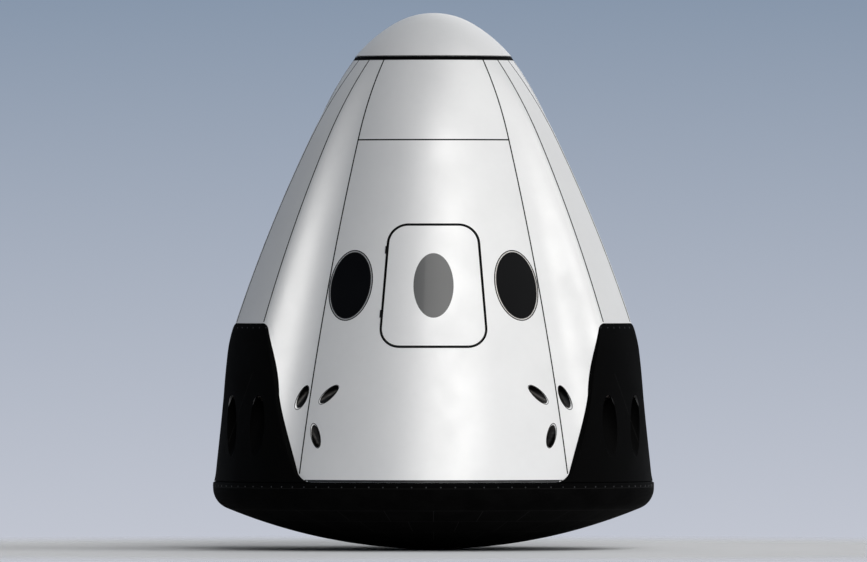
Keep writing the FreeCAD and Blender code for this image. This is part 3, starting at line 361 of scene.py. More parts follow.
def lit_screen():
    """A dark screen with plain glowing bars and lines that name nothing."""
    material, shader, add, link = mesh_nodes("screen_glow")
    set_shader(shader, 0.18, specular=0.5, coat=0.5, coat_roughness=0.03)
    coords = add("TexCoord").outputs["Object"]
    base = varied(add, coords, 3, (0.006, 0.008, 0.012), (0.012, 0.016, 0.022), 2)
    link(base, shader.inputs["Base Color"])
    bars = add("TexWave", {"Vector": coords, "Scale": 6.0, "Distortion": 0}, bands_direction="Z")
    cells = add("TexVoronoi", {"Vector": coords, "Scale": 9.0}, feature="DISTANCE_TO_EDGE")
    rows = add("MapRange", {"Value": bars.outputs["Fac"], "From Min": 0.86, "From Max": 0.9})
    edges = add("MapRange", {"Value": cells.outputs["Distance"], "From Min": 0.03,
                             "From Max": 0.02})
    glow = add("Math", {0: rows.outputs[0], 1: edges.outputs[0]}, operation="MAXIMUM").outputs[0]
    colour = add("Mix", {"Factor": glow}, data_type="RGBA")
    colour.inputs[6].default_value = (0.004, 0.01, 0.02, 1)
    colour.inputs[7].default_value = (0.1, 0.42, 0.6, 1)
    link(colour.outputs[2], shader.inputs["Emission Color"])
    shader.inputs["Emission Strength"].default_value = 0.8
    return material


WHITE = hull_paint("white_hull_finish", (0.78, 0.78, 0.785), (0.82, 0.82, 0.82), 0.45, 0.06,
                   metallic=0.22, specular=0.3)
BLACK = hull_paint("black_hull_finish", grey(0.0012), grey(0.0022), 0.75, 0.1, specular=0.02)
CHAR = ablative("tile_finish", grey(0.0012), grey(0.003))
CHAR_GAP = painted("tile_gap_filler", grey(0.007), grey(0.01), 8, 0.9, 0.05, 300, 0.2,
                   specular=0.1)
SEAL = painted("black_sealant", grey(0.002), grey(0.004), 20, 0.7, 0.08, 400, 0.2, specular=0.05)
RUBBER = painted("black_rubber", grey(0.003), grey(0.006), 25, 0.75, 0.08, 500, 0.3,
                 specular=0.1)
FRAME_GREY = painted("window_frame_finish", (0.36, 0.34, 0.32), (0.46, 0.44, 0.41), 12, 0.4,
                     0.06, 300, 0.1, metallic=0.55)
GLASS = tinted_glass("window_glass_finish", (0.0015, 0.0015, 0.0018), (0.003, 0.003, 0.0035), 0.25,
                     0.05, 0.0)
PORT_GLASS = tinted_glass("hatch_glass_finish", grey(0.06), grey(0.075), 0.4, 0.5, 0.1)
BELL_METAL = painted("bell_metal", (0.09, 0.08, 0.075), (0.2, 0.17, 0.15), 9, 0.42, 0.1, 120,
                     0.25, stretch=(1, 1, 4), metallic=0.9)
BORE_METAL = painted("bore_metal", (0.012, 0.011, 0.01), (0.03, 0.028, 0.026), 14, 0.35, 0.08, 120,
                     0.2, stretch=(1, 1, 4), metallic=0.9)
BARE = painted("machined_metal", (0.5, 0.51, 0.52), (0.62, 0.62, 0.62), 6, 0.34, 0.07, 260,
               0.12, stretch=(1, 1, 6), metallic=0.9)
DARK_METAL = painted("anodised_metal", grey(0.03), grey(0.055), 9, 0.45, 0.07, 300, 0.12,
                     metallic=0.7)
LINER = painted("cabin_liner", (0.52, 0.52, 0.5), (0.6, 0.6, 0.58), 7, 0.72, 0.07, 350, 0.3,
                specular=0.3)
FRAME_PAINT = painted("seat_frame_paint", (0.2, 0.205, 0.21), (0.27, 0.275, 0.28), 8, 0.45,
                      0.08, 250, 0.15, specular=0.4)
FABRIC = woven("seat_cloth", (0.055, 0.06, 0.068), (0.085, 0.09, 0.1), 0.0016)
PIPING = woven("seat_piping", (0.3, 0.31, 0.32), (0.4, 0.41, 0.42), 0.0012)
WEBBING = woven("harness_webbing", (0.02, 0.05, 0.13), (0.035, 0.075, 0.18), 0.0018)
SCREEN = lit_screen()
RIM = painted("bore_rim", grey(0.012), grey(0.02), 30, 0.5, 0.05, 300, 0.1, specular=0.1)

for names, material in (
        (WHITE_SKIN + ("side_hatch", "nose_cone"), WHITE),
        (BLACK_SKIN + ("nose_ring",), BLACK),
        (("heat_shield",), CHAR),
        (("engine_nozzles", "forward_thrusters"), BELL_METAL),
        (("side_thrusters",), BORE_METAL),
        (("window_frames",), FRAME_GREY),
        (("window_glass",), GLASS),
        (("hatch_window",), PORT_GLASS),
        (("docking_tunnel", "docking_ring", "forward_hatch"), BARE),
        (("hatch_hinge_lugs", "hatch_hinge_leaves"), SEAL),
        (("forward_bulkhead", "propellant_tanks", "control_display", "nose_hinge_lugs", "nose_hinge_arms", "forward_hatch_lugs",
          "forward_hatch_arms"), DARK_METAL),
        (("cabin_floor", "cabin_ceiling"), LINER),
        (("seat_frame",), FRAME_PAINT),
        (("seat_pans", "seat_backs", "headrests"), FABRIC)):
    for name in names:
        for place in nodes[name].material_slots:
            place.material = material


# ---------------------------------------------------------------- seams on the hull
def seam_path(azimuth, low, high, step=0.015):
    """Points and normals down the white skin at one azimuth; it stops at black skin."""
    path, normals = [], []
    count = int((high - low) / step) + 1
    for i in range(count + 1):
        height = low + (high - low) * i / count
        sides = [skin(azimuth + turn, height) for turn in (-SEAM_LOOK, SEAM_LOOK)]
        outer = skin(azimuth + SEAM_LOOK, height, hull_tree)
        if all(sides) and outer and (sides[1][0] - outer[0]).length < 0.002:
            path.append(sides[0][0].lerp(sides[1][0], 0.5))
            normals.append((sides[0][1] + sides[1][1]).normalized())
    return path, normals


def make_seams():
    """Sealant in the joints between the panels and along the pods' crown strips."""
    build = bmesh.new()
    section = strip(SEAM_HALF, SEAM_RISE)
    low, high = SHELL_LOW + 0.002, SHELL_TOP - 0.001
    for azimuth in (PANEL_HALF, *STRIP_EDGES, POD_FAR):
        for turn in (azimuth, -azimuth, 180 - azimuth, azimuth - 180):
            path, normals = seam_path(turn, low, high)
            add_sweep(build, path, normals, section)
    for middle in (0, 180):
        path, normals = [], []
        for i in range(-PANEL_HALF, PANEL_HALF + 1):
            point, normal = skin(middle + i, COVER_UP - 0.0005)
            path.append(point)
            normals.append(normal)
        add_sweep(build, path, normals, section)
    thing = finish_mesh("panel_seams", build, SEAL, "hull")


def make_panel_feet():
    """A dark metal strip along the foot of the front and rear panels, under a black line: its dark grey is
    painted shade of the shell's lower bevel.
    """
    for name, rise, half, material, slot in (
            ("panel_foot_lines", 0.0185, 0.0045, SEAL, "black_hull"),
            # The second strip's dark grey paints the shade on the shell's lower bevel; the lamps give its
            # highlight.
            ("panel_foot_bevel_shade", 0.0072, 0.0070, DARK_METAL, "frame_metal")):
        build = bmesh.new()
        for middle in (0, 180):
            path, normals = [], []
            for i in range(-2 * PANEL_HALF, 2 * PANEL_HALF + 1):
                found = skin(middle + i / 2, SHELL_LOW + rise)
                outer = skin(middle + i / 2, SHELL_LOW + rise, hull_tree)
                if found and outer and (found[0] - outer[0]).length < 0.002:
                    path.append(found[0])
                    normals.append(found[1])
            add_sweep(build, path, normals, strip(half, SEAM_RISE))
        finish_mesh(name, build, material, "hull")


def make_nose_line():
    """Sealant below the nose ring, and a black edge round the foot of the nose cone."""
    for name, tree, height, half, body in (
            ("nose_ring_sealant", white_tree, SHELL_TOP - 0.002, 0.0022, "hull"),
            ("nose_cone_edge", nose_tree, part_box("nose_cone")[0].z + 0.003, 0.0026, "nose_cone")):
        build = bmesh.new()
        path, normals = [], []
        for azimuth in range(0, 360, 2):
            point, normal = skin(azimuth, height, tree)
            path.append(point)
            normals.append(normal)
        add_sweep(build, path, normals, strip(half, SEAM_RISE), closed=True)
        finish_mesh(name, build, SEAL, body)


nose_tree = tree_of("nose_cone")


# ---------------------------------------------------------------- windows
def surface_frame(azimuth, height, tree=white_tree):
    """Directions at a place on the hull: towards larger azimuths, up and outwards.

    Two points above and below it give the slope, so that a hole at the point is no matter.
    """
    reach = 0.5
    above = skin(azimuth, height + reach, tree)[0]
    below = skin(azimuth, height - reach, tree)[0]
    up = (above - below).normalized()
    away = at(azimuth + 90, 1, 0)
    return away, up, away.cross(up)


def ellipse_path(azimuth, height, half, tree, origin=None, count=96):
    """Points and normals of an ellipse laid on a curved skin."""
    away, up, outwards = surface_frame(azimuth, height, hull_tree)
    origin = origin or hull_point(azimuth, height)
    path, normals = [], []
    for i in range(count):
        angle = 2 * math.pi * i / count
        start = (origin + away * (half[0] * math.cos(angle)) + up * (half[1] * math.sin(angle))
                 + outwards * 0.5)
        found = cast(tree, start, -outwards)
        path.append(found[0])
        normals.append(found[1])
    return path, normals


def hull_point(azimuth, height):
    """A point of the hull's arc, through three points around a window or hatch."""
    reach = 0.62
    low, high = (skin(azimuth, height + d, hull_tree)[0] for d in (-reach, reach))
    middle = (low + high) / 2
    bulge = reach ** 2 / (2 * HULL_ARC * math.cos(math.radians(16)) ** 3)
    return middle + at(azimuth, bulge, 0)


HULL_ARC = 21.637


def fastener(build, point, normal, radius, rise=0.0012, sides=10):
    """A flush screw: a low domed head with a sunken middle."""
    turn = turn_to(normal)
    profile = ((0.0, rise * 0.1), (radius * 0.45, rise * 0.1), (radius * 0.5, rise),
               (radius * 0.85, rise), (radius, 0.0), (radius * 0.98, -0.002), (0.0, -0.002))
    rings = []
    for r, z in profile:
        if r == 0:
            rings.append([build.verts.new(point + turn @ Vector((0, 0, z)))])
            continue
        rings.append([build.verts.new(point + turn @ Vector(
            (r * math.cos(2 * math.pi * i / sides), r * math.sin(2 * math.pi * i / sides), z)))
            for i in range(sides)])
    for first, second in zip(rings, rings[1:]):
        for i in range(sides):
            j = (i + 1) % sides
            loop = [first[i % len(first)], first[j % len(first)],
                    second[j % len(second)], second[i % len(second)]]
            build.faces.new(list(dict.fromkeys(loop)))


frames_tree = tree_of("window_frames", "window_glass", *WHITE_SKIN)


def make_windows():
    """Gaskets and screws round the side windows, and the gasket of the hatch window."""
    gaskets, screws = bmesh.new(), bmesh.new()
    for rim in sharp_loops("window_frames", is_skin)[:4]:
        path, normals = even_loop(rim, 0.018)
        add_sweep(gaskets, path, normals, strip(0.0045, 0.0016, 0.003), closed=True)
    for hand in (-1, 1):
        azimuth = hand * WINDOW_AZIMUTH
        size = (WINDOW_HALF[0] - WINDOW_RIM / 2, WINDOW_HALF[1] - WINDOW_RIM / 2)
        path, normals = ellipse_path(azimuth, WINDOW_UP, size, frames_tree, count=32)
        for point, normal in zip(path, normals):
            fastener(screws, point, normal, 0.0035, 0.0006)
    thing = finish_mesh("window_gaskets", gaskets, RUBBER, "hull")
    thing = finish_mesh("window_screws", screws, BARE, "hull")
    build = bmesh.new()
    path, normals = even_loop(sharp_loops("side_hatch", is_skin)[1], 0.02)
    add_sweep(build, path, normals, strip(0.0045, 0.0014, 0.004), closed=True)
    thing = finish_mesh("hatch_window_gasket", build, RUBBER, "side_hatch")


# ---------------------------------------------------------------- side thrusters
def thruster_axes():
    """Mouth, plume and facing of every side thruster, from the table by symmetry."""
    for azimuth, height, proud, faces, heading in THRUSTERS:
        slope = math.asin((height + 3.693) / HULL_ARC)
        level, away = at(faces, 1, 0), at(faces + 90, 1, 0)
        outwards = level * math.cos(slope) + Vector((0, 0, math.sin(slope)))
        up = level * -math.sin(slope) + Vector((0, 0, math.cos(slope)))
        radius = HULL_ARC * math.cos(slope) - 19.228 + proud
        lean, turn = math.radians(THRUSTER_LEAN), math.radians(heading)
        plume = (up * math.cos(turn) + away * math.sin(turn)) * math.cos(lean)
        plume += outwards * math.sin(lean)
        for side in (-1, 1):
            for back in (-1, 1):
                flip = Vector((side, back, 1))
                yield at(azimuth, radius, height) * flip, plume * flip, outwards * flip


def make_thruster_rims():
    """A thin metal lip round each side thruster's hole, and its dark throat."""
    rims, throats = bmesh.new(), bmesh.new()
    for mouth, plume, outwards in thruster_axes():
        across = plume.cross(outwards).normalized()
        other = plume.cross(across)
        path, normals = [], []
        for i in range(40):
            angle = 2 * math.pi * i / 40
            offset = across * math.cos(angle) + other * math.sin(angle)
            start = mouth + offset * (THRUSTER_BORE + 0.0012) + plume * 0.6
            found = cast(white_tree, start, -plume)
            if found:
                path.append(found[0])
                normals.append(found[1])
        add_sweep(rims, path, normals, strip(0.0028, 0.0012), closed=True)
        turn = turn_to(plume)
        add_lathe(throats, ((0.0, 0.0), (0.012, 0.004), (0.02, 0.03), (0.018, 0.03),
                            (0.01, 0.008), (0.0, 0.006)), 20,
                  mouth - plume * 0.185, turn, closed=False)
    thing = finish_mesh("thruster_rims", rims, RIM, "hull")
    thing = finish_mesh("thruster_throats", throats, DARK_METAL, "hull")


# ---------------------------------------------------------------- loops of sharp edges
def sharp_loops(name, outside):
    """Closed chains of edges between a node's skin and its other faces, longest first.

    outside says which faces are skin.  Each chain is a list of (point, skin normal).
    """
    build = bmesh.new()
    build.from_mesh(nodes[name].data)
    bmesh.ops.remove_doubles(build, verts=build.verts, dist=1e-5)
    build.normal_update()
    links = {}
    for edge in build.edges:
        if len(edge.link_faces) != 2:
            continue
        kinds = [outside(f) for f in edge.link_faces]
        if kinds[0] == kinds[1] or edge.calc_face_angle(0) < 0.6:
            continue
        normal = edge.link_faces[kinds.index(True)].normal.copy()
        one, two = edge.verts
        for v, w in ((one, two), (two, one)):
            links.setdefault(v.index, []).append((w.index, normal))
    places = {v.index: v.co.copy() for v in build.verts if v.index in links}
    build.free()
    loops, left = [], set(links)
    while left:
        start = now = left.pop()
        chain = [(places[now], links[now][0][1])]
        while True:
            onward = [j for j, _ in links[now] if j in left]
            if not onward:
                break
            now = onward[0]
            left.discard(now)
            chain.append((places[now], links[now][0][1]))
        if len(chain) > 8 and any(j == start for j, _ in links[now]):
            loops.append(chain)
    return sorted(loops, key=lambda c: -loop_length(c))


def loop_length(chain):
    return sum((a[0] - b[0]).length for a, b in zip(chain, chain[1:] + chain[:1]))


def even_loop(chain, step):
    """Even points and normals round a chain, turning so that 'side' points away from it."""
    total = loop_length(chain)
    count = max(12, int(total / step))
    path, normals = [], []
    walked, wanted = 0.0, 0.0
    for (a, n), (b, m) in zip(chain, chain[1:] + chain[:1]):
        span = (b - a).length
        while wanted < walked + span - 1e-9 and len(path) < count:
            share = (wanted - walked) / span
            path.append(a.lerp(b, share))
            normals.append(n.lerp(m, share).normalized())
            wanted += total / count
        walked += span
    middle = sum(path, Vector()) / len(path)
    side = (path[1] - path[-1]).cross(normals[0])
    if side.dot(path[0] - middle) < 0:
        path.reverse()
        normals.reverse()
    return path, normals


def is_skin(face):
    """A face that looks away from the hull's axis."""
    centre = face.calc_center_median()
    away = Vector((centre.x, centre.y, 0))
    return away.length > 0.01 and face.normal.dot(away.normalized()) > 0.6


# ---------------------------------------------------------------- side hatch
EDGE_DEEP = 0.014
EDGE_THICK = 0.0015
EDGE_LAP = 0.0022
EDGE_RISE = 0.0007
SEAL_TOP, SEAL_DEEP, SEAL_WIDE = 0.022, 0.036, 0.012


def make_hatch_edges():
    """Black edging on both sides of the hatch's gap, and the seal down in it."""
    hatch_rim = sharp_loops("side_hatch", is_skin)[0]
    frame_rim = max(sharp_loops("front_panel", is_skin)[:3], key=lambda c: near_hatch(c))
    for name, rim, body, hand in (("hatch_edging", hatch_rim, "side_hatch", 1),
                                  ("hatch_frame_edging", frame_rim, "hull", -1)):
        build = bmesh.new()
        path, normals = even_loop(rim, 0.02)
        section = [(hand * s, o) for s, o in
                   ((-EDGE_LAP, -0.0005), (-EDGE_LAP, EDGE_RISE), (EDGE_THICK, EDGE_RISE),
                    (EDGE_THICK, -EDGE_DEEP), (-0.0005, -EDGE_DEEP), (-0.0005, -0.0005))]
        add_sweep(build, path, normals, section, closed=True)
        finish_mesh(name, build, SEAL, body)
    build = bmesh.new()
    section = ((0.001, -SEAL_DEEP), (-SEAL_WIDE * 0.6, -SEAL_DEEP), (-SEAL_WIDE, -SEAL_DEEP + 0.004),
               (-SEAL_WIDE, -SEAL_TOP - 0.004), (-SEAL_WIDE * 0.6, -SEAL_TOP), (0.001, -SEAL_TOP))
    add_sweep(build, path, normals, section, closed=True)
    finish_mesh("hatch_seal", build, RUBBER, "hull")
    return hatch_rim


def near_hatch(chain):
    """Length of a chain if its middle is in front of the hatch, else nothing."""
    middle = sum((p for p, _ in chain), Vector()) / len(chain)
    return loop_length(chain) if abs(middle.x) < 0.1 and 2.2 < middle.z < 2.6 else 0


def inner_skin(face):
    centre = face.calc_center_median()
    away = Vector((centre.x, centre.y, 0))
    return away.length > 0.01 and face.normal.dot(away.normalized()) < -0.6


def hatch_inside(x, height):
    """A point of the hatch's inner face, with its normal into the cabin."""
    return cast(hatch_tree, Vector((x, -0.6, height)), Vector((0, -1, 0)))


def make_hatch_inside():
    """Lining rim, latches, window trim, screws and a handle on the hatch's inner face."""
    rim = sharp_loops("side_hatch", inner_skin)
    path, normals = even_loop(rim[0], 0.025)
    lining_rim, screws, latches = bmesh.new(), bmesh.new(), bmesh.new()
    middle = sum(path, Vector()) / len(path)
    inset, flat = [], []
    for point, normal in zip(path, normals):
        toward = (middle - point).normalized()
        found = cast(hatch_tree, point + toward * 0.05 + normal * 0.2, -normal)
        if found:
            inset.append(found[0])
            flat.append(found[1])
    add_sweep(lining_rim, inset, flat, strip(0.018, 0.006), closed=True)
    for i, (point, normal) in enumerate(zip(inset, flat)):
        if i % 4 == 0:
            fastener(screws, point + normal * 0.006, normal, 0.006, 0.002)
        if i % 16 == 8:
            toward = (middle - point).normalized()
            along = toward.cross(normal)
            add_block(latches, point + normal * 0.016 - toward * 0.012, (along, toward, normal),
                      (0.05, 0.04, 0.022), 0.004)
            add_block(latches, point + normal * 0.018 - toward * 0.03, (along, toward, normal),
                      (0.022, 0.05, 0.012), 0.003)
    finish_mesh("hatch_lining_rim", lining_rim, LINER, "side_hatch")
    finish_mesh("hatch_latches", latches, BARE, "side_hatch")
    ring = sharp_loops("side_hatch", inner_skin)[1]
    port, faces = even_loop(ring, 0.02)
    build = bmesh.new()
    add_sweep(build, port, faces, ((0.001, -0.001), (0.001, 0.008), (0.006, 0.012),
                                   (0.026, 0.009), (0.03, 0.0), (0.03, -0.001)), closed=True)
    finish_mesh("hatch_port_trim", build, BARE, "side_hatch")
    for point, normal in list(zip(port, faces))[::4]:
        away = (point - middle).normalized()
        fastener(screws, point + away * 0.017 + normal * 0.0105, normal, 0.004, 0.0015)
    finish_mesh("hatch_screws", screws, BARE, "side_hatch")
    build = bmesh.new()
    low, high = hatch_inside(0.3, 2.24), hatch_inside(0.3, 2.54)
    out = low[1]
    grip = [low[0], low[0] + out * 0.05, low[0].lerp(high[0], 0.1) + out * 0.068,
            low[0].lerp(high[0], 0.9) + out * 0.068, high[0] + out * 0.05, high[0]]
    add_tube(build, grip, 0.011)
    for end in (low, high):
        add_lathe(build, ((0, -0.001), (0.026, -0.001), (0.026, 0.006), (0.016, 0.01), (0, 0.01)),
                  24, end[0], turn_to(end[1]), closed=False)
    finish_mesh("hatch_handle", build, FRAME_PAINT, "side_hatch")


def smooth_path(points, each=6):
    """A smooth curve through points, with the ends kept."""
    padded = [points[0] * 2 - points[1], *points, points[-1] * 2 - points[-2]]
    path = []
    for i in range(1, len(padded) - 2):
        a, b, c, d = padded[i - 1:i + 3]
        for j in range(each):
            t = j / each
            path.append(0.5 * (2 * b + (c - a) * t + (2 * a - 5 * b + 4 * c - d) * t * t
                               + (3 * b - a - 3 * c + d) * t ** 3))
    path.append(points[-1])
    return path


def add_tube(build, points, radius, sides=10, each=6):
    """A round bar along a smooth path, with closed ends."""
    path = smooth_path(points, each)
    normal = (path[1] - path[0]).orthogonal().normalized()
    normals = []
    for i, point in enumerate(path):
        along = (path[min(i + 1, len(path) - 1)] - path[max(i - 1, 0)]).normalized()
        normal = (normal - along * normal.dot(along)).normalized()
        normals.append(normal)
    add_sweep(build, path, normals, round_section(radius, sides))


# ---------------------------------------------------------------- heat shield and base
def shield_point(azimuth, radius):
    """Point and normal of the heat shield's underside at a distance from the axis."""
    return cast(shield_tree, at(azimuth, radius, -0.5), Vector((0, 0, 1)))


shield_tree = tree_of("heat_shield")
TILE_RINGS = (0.32, 0.64, 0.96, 1.28, 1.60, 1.86)


def make_tile_gaps():
    """Filled gaps between the heat shield's tiles: rings, and spokes staggered between."""
    build = bmesh.new()
    section = strip(0.003, 0.0005)
    for radius in TILE_RINGS:
        pairs = [shield_point(a, radius) for a in range(0, 360, 3)]
        add_sweep(build, [p[0] for p in pairs], [p[1] for p in pairs], section, closed=True)
    for index, (inner, outer) in enumerate(zip(TILE_RINGS, TILE_RINGS[1:])):
        count = max(6, round(math.pi * (inner + outer) / 0.42))
        for i in range(count):
            azimuth = 360 * (i + 0.5 * (index % 2)) / count
            pairs = [shield_point(azimuth, inner + (outer - inner) * k / 8) for k in range(9)]
            add_sweep(build, [p[0] for p in pairs], [p[1] for p in pairs], section)
    finish_mesh("tile_gaps", build, CHAR_GAP, "hull")


# Ends of the crease down a fairing's face, as distance from the middle and height; a lighter strip along it
# is a painted highlight on the crease's rounded edge.
CREASE = (Vector((1.633, 1.60)), Vector((1.896, 0.848)))


def make_base_details():
    """A joint line round the base ring, its screws, screws along the fairings, and a lighter strip down
    each fairing's crease as a painted highlight.
    """
    build, lines = bmesh.new(), bmesh.new()
    ring_low, ring_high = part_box("base_ring")[0].z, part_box("base_ring")[1].z
    middle = (ring_low + ring_high) / 2
    ring_tree = tree_of("base_ring", *("engine_fairing_" + pod for pod in PODS))
    for i in range(96):
        azimuth = 360 * (i + 0.5) / 96
        found = skin(azimuth, middle - 0.012, ring_tree)
        if found:
            fastener(build, found[0], found[1], 0.007, 0.0015)
    path, normals = [], []
    for i in range(180):
        found = skin(2 * i, ring_low + 0.006, ring_tree)
        path.append(found[0])
        normals.append(found[1])
    add_sweep(lines, path, normals, strip(0.002, 0.0006), closed=True)
    for pod, centre in (("front_left", -60.5), ("front_right", 60.5),
                        ("rear_left", -119.5), ("rear_right", 119.5)):
        tree = tree_of("engine_fairing_" + pod)
        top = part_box("engine_fairing_" + pod)[1].z
        for turn in range(-12, 13, 3):
            found = skin(centre + turn, top - 0.04, tree)
            if found and found[1].z < 0.5:
                fastener(build, found[0], found[1], 0.006, 0.0012)
        side, back = (-1 if "left" in pod else 1), (1 if "rear" in pod else -1)
        # A raised strip down the crease: its lighter grey is a painted highlight on the rounded edge.
        crease = []
        for k in range(13):
            spot = CREASE[0].lerp(CREASE[1], k / 12)
            start = Vector((side * spot.x, back * 3, spot.y))
            crease.append(cast(tree, start, Vector((0, -back, 0))))
        if all(crease):
            add_sweep(lines, [p[0] for p in crease], [p[1] for p in crease], strip(0.002, 0.0005))
    finish_mesh("base_screws", build, DARK_METAL, "hull")
    finish_mesh("base_joint_and_crease_highlight_lines", lines, CHAR_GAP, "hull")


# ---------------------------------------------------------------- nose and docking port
def make_docking_details():
    """Guide petals, latches, seals and screws of the docking port and its bulkhead."""
    ring_low, ring_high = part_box("docking_ring")[0].z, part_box("docking_ring")[1].z
    ring_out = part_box("docking_ring")[1].x
    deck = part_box("forward_bulkhead")[1].z
    metal, dark, screws, soft = bmesh.new(), bmesh.new(), bmesh.new(), bmesh.new()
    ring_tree = tree_of("docking_ring")
    up = Vector((0, 0, 1))

    def top(azimuth, radius):
        found = cast(ring_tree, at(azimuth, radius, ring_high + 0.3), -up)
        return found[0] if found else None

    inner = next(r / 1000 for r in range(300, 500)
                 if (p := top(7, r / 1000)) and p.z > ring_high - 0.03)
    for radius in (inner + 0.025, inner + 0.043):
        spots = [top(a, radius) for a in range(0, 360, 4)]
        add_sweep(soft, spots, [up] * len(spots), strip(0.005, 0.005), closed=True)
    for i in range(12):
        azimuth = 15 + 30 * i
        out, along = at(azimuth, 1, 0), at(azimuth + 90, 1, 0)
        spot = top(azimuth, ring_out - 0.02)
        add_block(metal, spot + up * 0.006, (along, out, up), (0.05, 0.026, 0.014), 0.003)
        add_block(dark, spot + up * 0.012 - out * 0.004, (along, out, up),
                  (0.02, 0.02, 0.016), 0.003)
        for hand in (-1, 1):
            fastener(screws, spot + up * 0.013 + along * (hand * 0.018), up, 0.004, 0.0015)
    for i in range(48):
        spot = top(7.5 * i + 3.75, inner + 0.011)
        fastener(screws, spot, up, 0.0045, 0.0015)
    # Three guide petals lean inwards from the ring's inner edge.
    for i in range(3):
        centre = 60 + 120 * i
        spread = []
        for share, half, radius, lift in ((0, 24, inner - 0.004, -0.05), (0.35, 20, inner - 0.012, 0.0),
                                          (0.7, 15, inner - 0.035, 0.045), (1, 10, inner - 0.07, 0.085)):
            spread.append([(at(centre - half + 2 * half * k / 10, radius, ring_high + lift),
                            at(centre - half + 2 * half * k / 10, radius - 0.008, ring_high + lift - 0.001))
                           for k in range(11)])
        outer = [[metal.verts.new(p[0]) for p in row] for row in spread]
        inward = [[metal.verts.new(p[1]) for p in row] for row in spread]
        for sheet in (outer, inward):
            for a, b in zip(sheet, sheet[1:]):
                for k in range(10):
                    metal.faces.new((a[k], a[k + 1], b[k + 1], b[k]))
        for rows in ((outer[0], inward[0]), (outer[-1], inward[-1])):
            for k in range(10):
                metal.faces.new((rows[0][k], rows[0][k + 1], rows[1][k + 1], rows[1][k]))
        for k in (0, 10):
            for j in range(3):
                metal.faces.new((outer[j][k], outer[j + 1][k], inward[j + 1][k], inward[j][k]))
    deck_tree = tree_of("forward_bulkhead")
    for i in range(24):
        found = cast(deck_tree, at(15 * i + 7, 0.655, deck + 0.3), -up)
        if found:
            fastener(screws, found[0], up, 0.008, 0.003)
    for azimuth in (20, 70, 110, 160, 200, 250, 290, 340):
        out, along = at(azimuth, 1, 0), at(azimuth + 90, 1, 0)
        add_block(dark, at(azimuth, 0.6, deck + 0.02), (along, out, up), (0.11, 0.07, 0.04), 0.006)
        for hand in (-1, 1):
            fastener(screws, at(azimuth, 0.6, deck + 0.04) + along * (hand * 0.045), up, 0.005, 0.002)
    for start in (25, 115, 205, 295):
        run = [at(start + k * 5, 0.55 + 0.008 * math.sin(k * 1.3), deck + 0.012) for k in range(7)]
        add_tube(dark, run, 0.008, 8, 4)
    for name, build, material, slot in (("docking_latches", metal, BARE, "bare_metal"),
                                        ("docking_boxes", dark, DARK_METAL, "frame_metal"),
                                        ("docking_screws", screws, BARE, "bare_metal"),
                                        ("docking_seals", soft, RUBBER, "black_hull")):
        finish_mesh(name, build, material, "hull")


def make_nose_details():
    """Rim gasket, ribs and screws inside the nose cone."""
    tree = tree_of("nose_cone")
    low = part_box("nose_cone")[0].z
    ribs, gasket, screws = bmesh.new(), bmesh.new(), bmesh.new()

    def under(azimuth, radius):
        return cast(tree, at(azimuth, radius, low - 0.3), Vector((0, 0, 1)))

    rim = [under(a, 0.69) for a in range(0, 360, 4)]
    add_sweep(gasket, [p[0] for p in rim], [p[1] for p in rim], strip(0.008, 0.0025), closed=True)
    for i in range(12):
        azimuth = 30 * i + 15
        path = [under(azimuth, 0.14 + 0.49 * k / 10) for k in range(11)]
        path = [p for p in path if p and p[0].z > low + 0.02]
        add_sweep(ribs, [p[0] for p in path], [p[1] for p in path],
                  ((-0.006, -0.001), (-0.006, 0.016), (-0.012, 0.016), (-0.012, 0.02),
                   (0.012, 0.02), (0.012, 0.016), (0.006, 0.016), (0.006, -0.001)))
    for radius in (0.14, 0.36, 0.56):
        path = [under(a, radius) for a in range(0, 360, 5)]
        add_sweep(ribs, [p[0] for p in path], [p[1] for p in path],
                  ((-0.006, -0.001), (-0.006, 0.02), (0.006, 0.02), (0.006, -0.001)), closed=True)
    for i in range(36):
        found = under(10 * i + 5, 0.698)
        if found and found[0].z < low + 0.01:
            fastener(screws, found[0], found[1], 0.004, 0.0015)
    finish_mesh("nose_cone_ribs", ribs, LINER, "nose_cone")
    finish_mesh("nose_cone_gasket", gasket, RUBBER, "nose_cone")
    finish_mesh("nose_cone_screws", screws, BARE, "nose_cone")


def make_lid_details():
    """Stiffeners, window boss and latch wheel on the forward hatch's upper face."""
    tree = tree_of("forward_hatch")
    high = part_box("forward_hatch")[1].z
    build, dark = bmesh.new(), bmesh.new()
    up = Vector((0, 0, 1))
    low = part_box("forward_hatch")[0].z
    down = -up
    for i in range(6):
        out, along = at(60 * i, 1, 0), at(60 * i + 90, 1, 0)
        add_block(build, at(60 * i, 0.25, low - 0.008), (along, out, down), (0.024, 0.26, 0.018),
                  0.004)
    add_lathe(build, ((0.1, 0.001), (0.1, -0.018), (0.12, -0.022), (0.128, -0.018), (0.128, 0.001)),
              64, Vector((0, 0, low)))
    add_lathe(build, ((0.385, 0.001), (0.385, -0.014), (0.405, -0.014), (0.405, 0.001)), 96,
              Vector((0, 0, low)))
    for i in range(24):
        fastener(dark, at(15 * i, 0.395, low - 0.014), down, 0.006, 0.003)
    wheel = [at(a, 0.075, low - 0.07) for a in range(0, 360, 15)]
    add_sweep(dark, wheel, [up] * len(wheel), round_section(0.008), closed=True)
    for i in range(3):
        add_tube(dark, [at(120 * i, 0.01, low - 0.055), at(120 * i, 0.04, low - 0.062),
                        at(120 * i, 0.075, low - 0.07)], 0.006, 8, 2)
    add_lathe(dark, ((0.0, 0.001), (0.022, 0.001), (0.022, -0.03), (0.014, -0.062), (0.0, -0.062)),
              32, Vector((0, 0, low)), closed=False)
    finish_mesh("forward_hatch_ribs", build, BARE, "forward_hatch")
    finish_mesh("forward_hatch_wheel", dark, DARK_METAL, "forward_hatch")


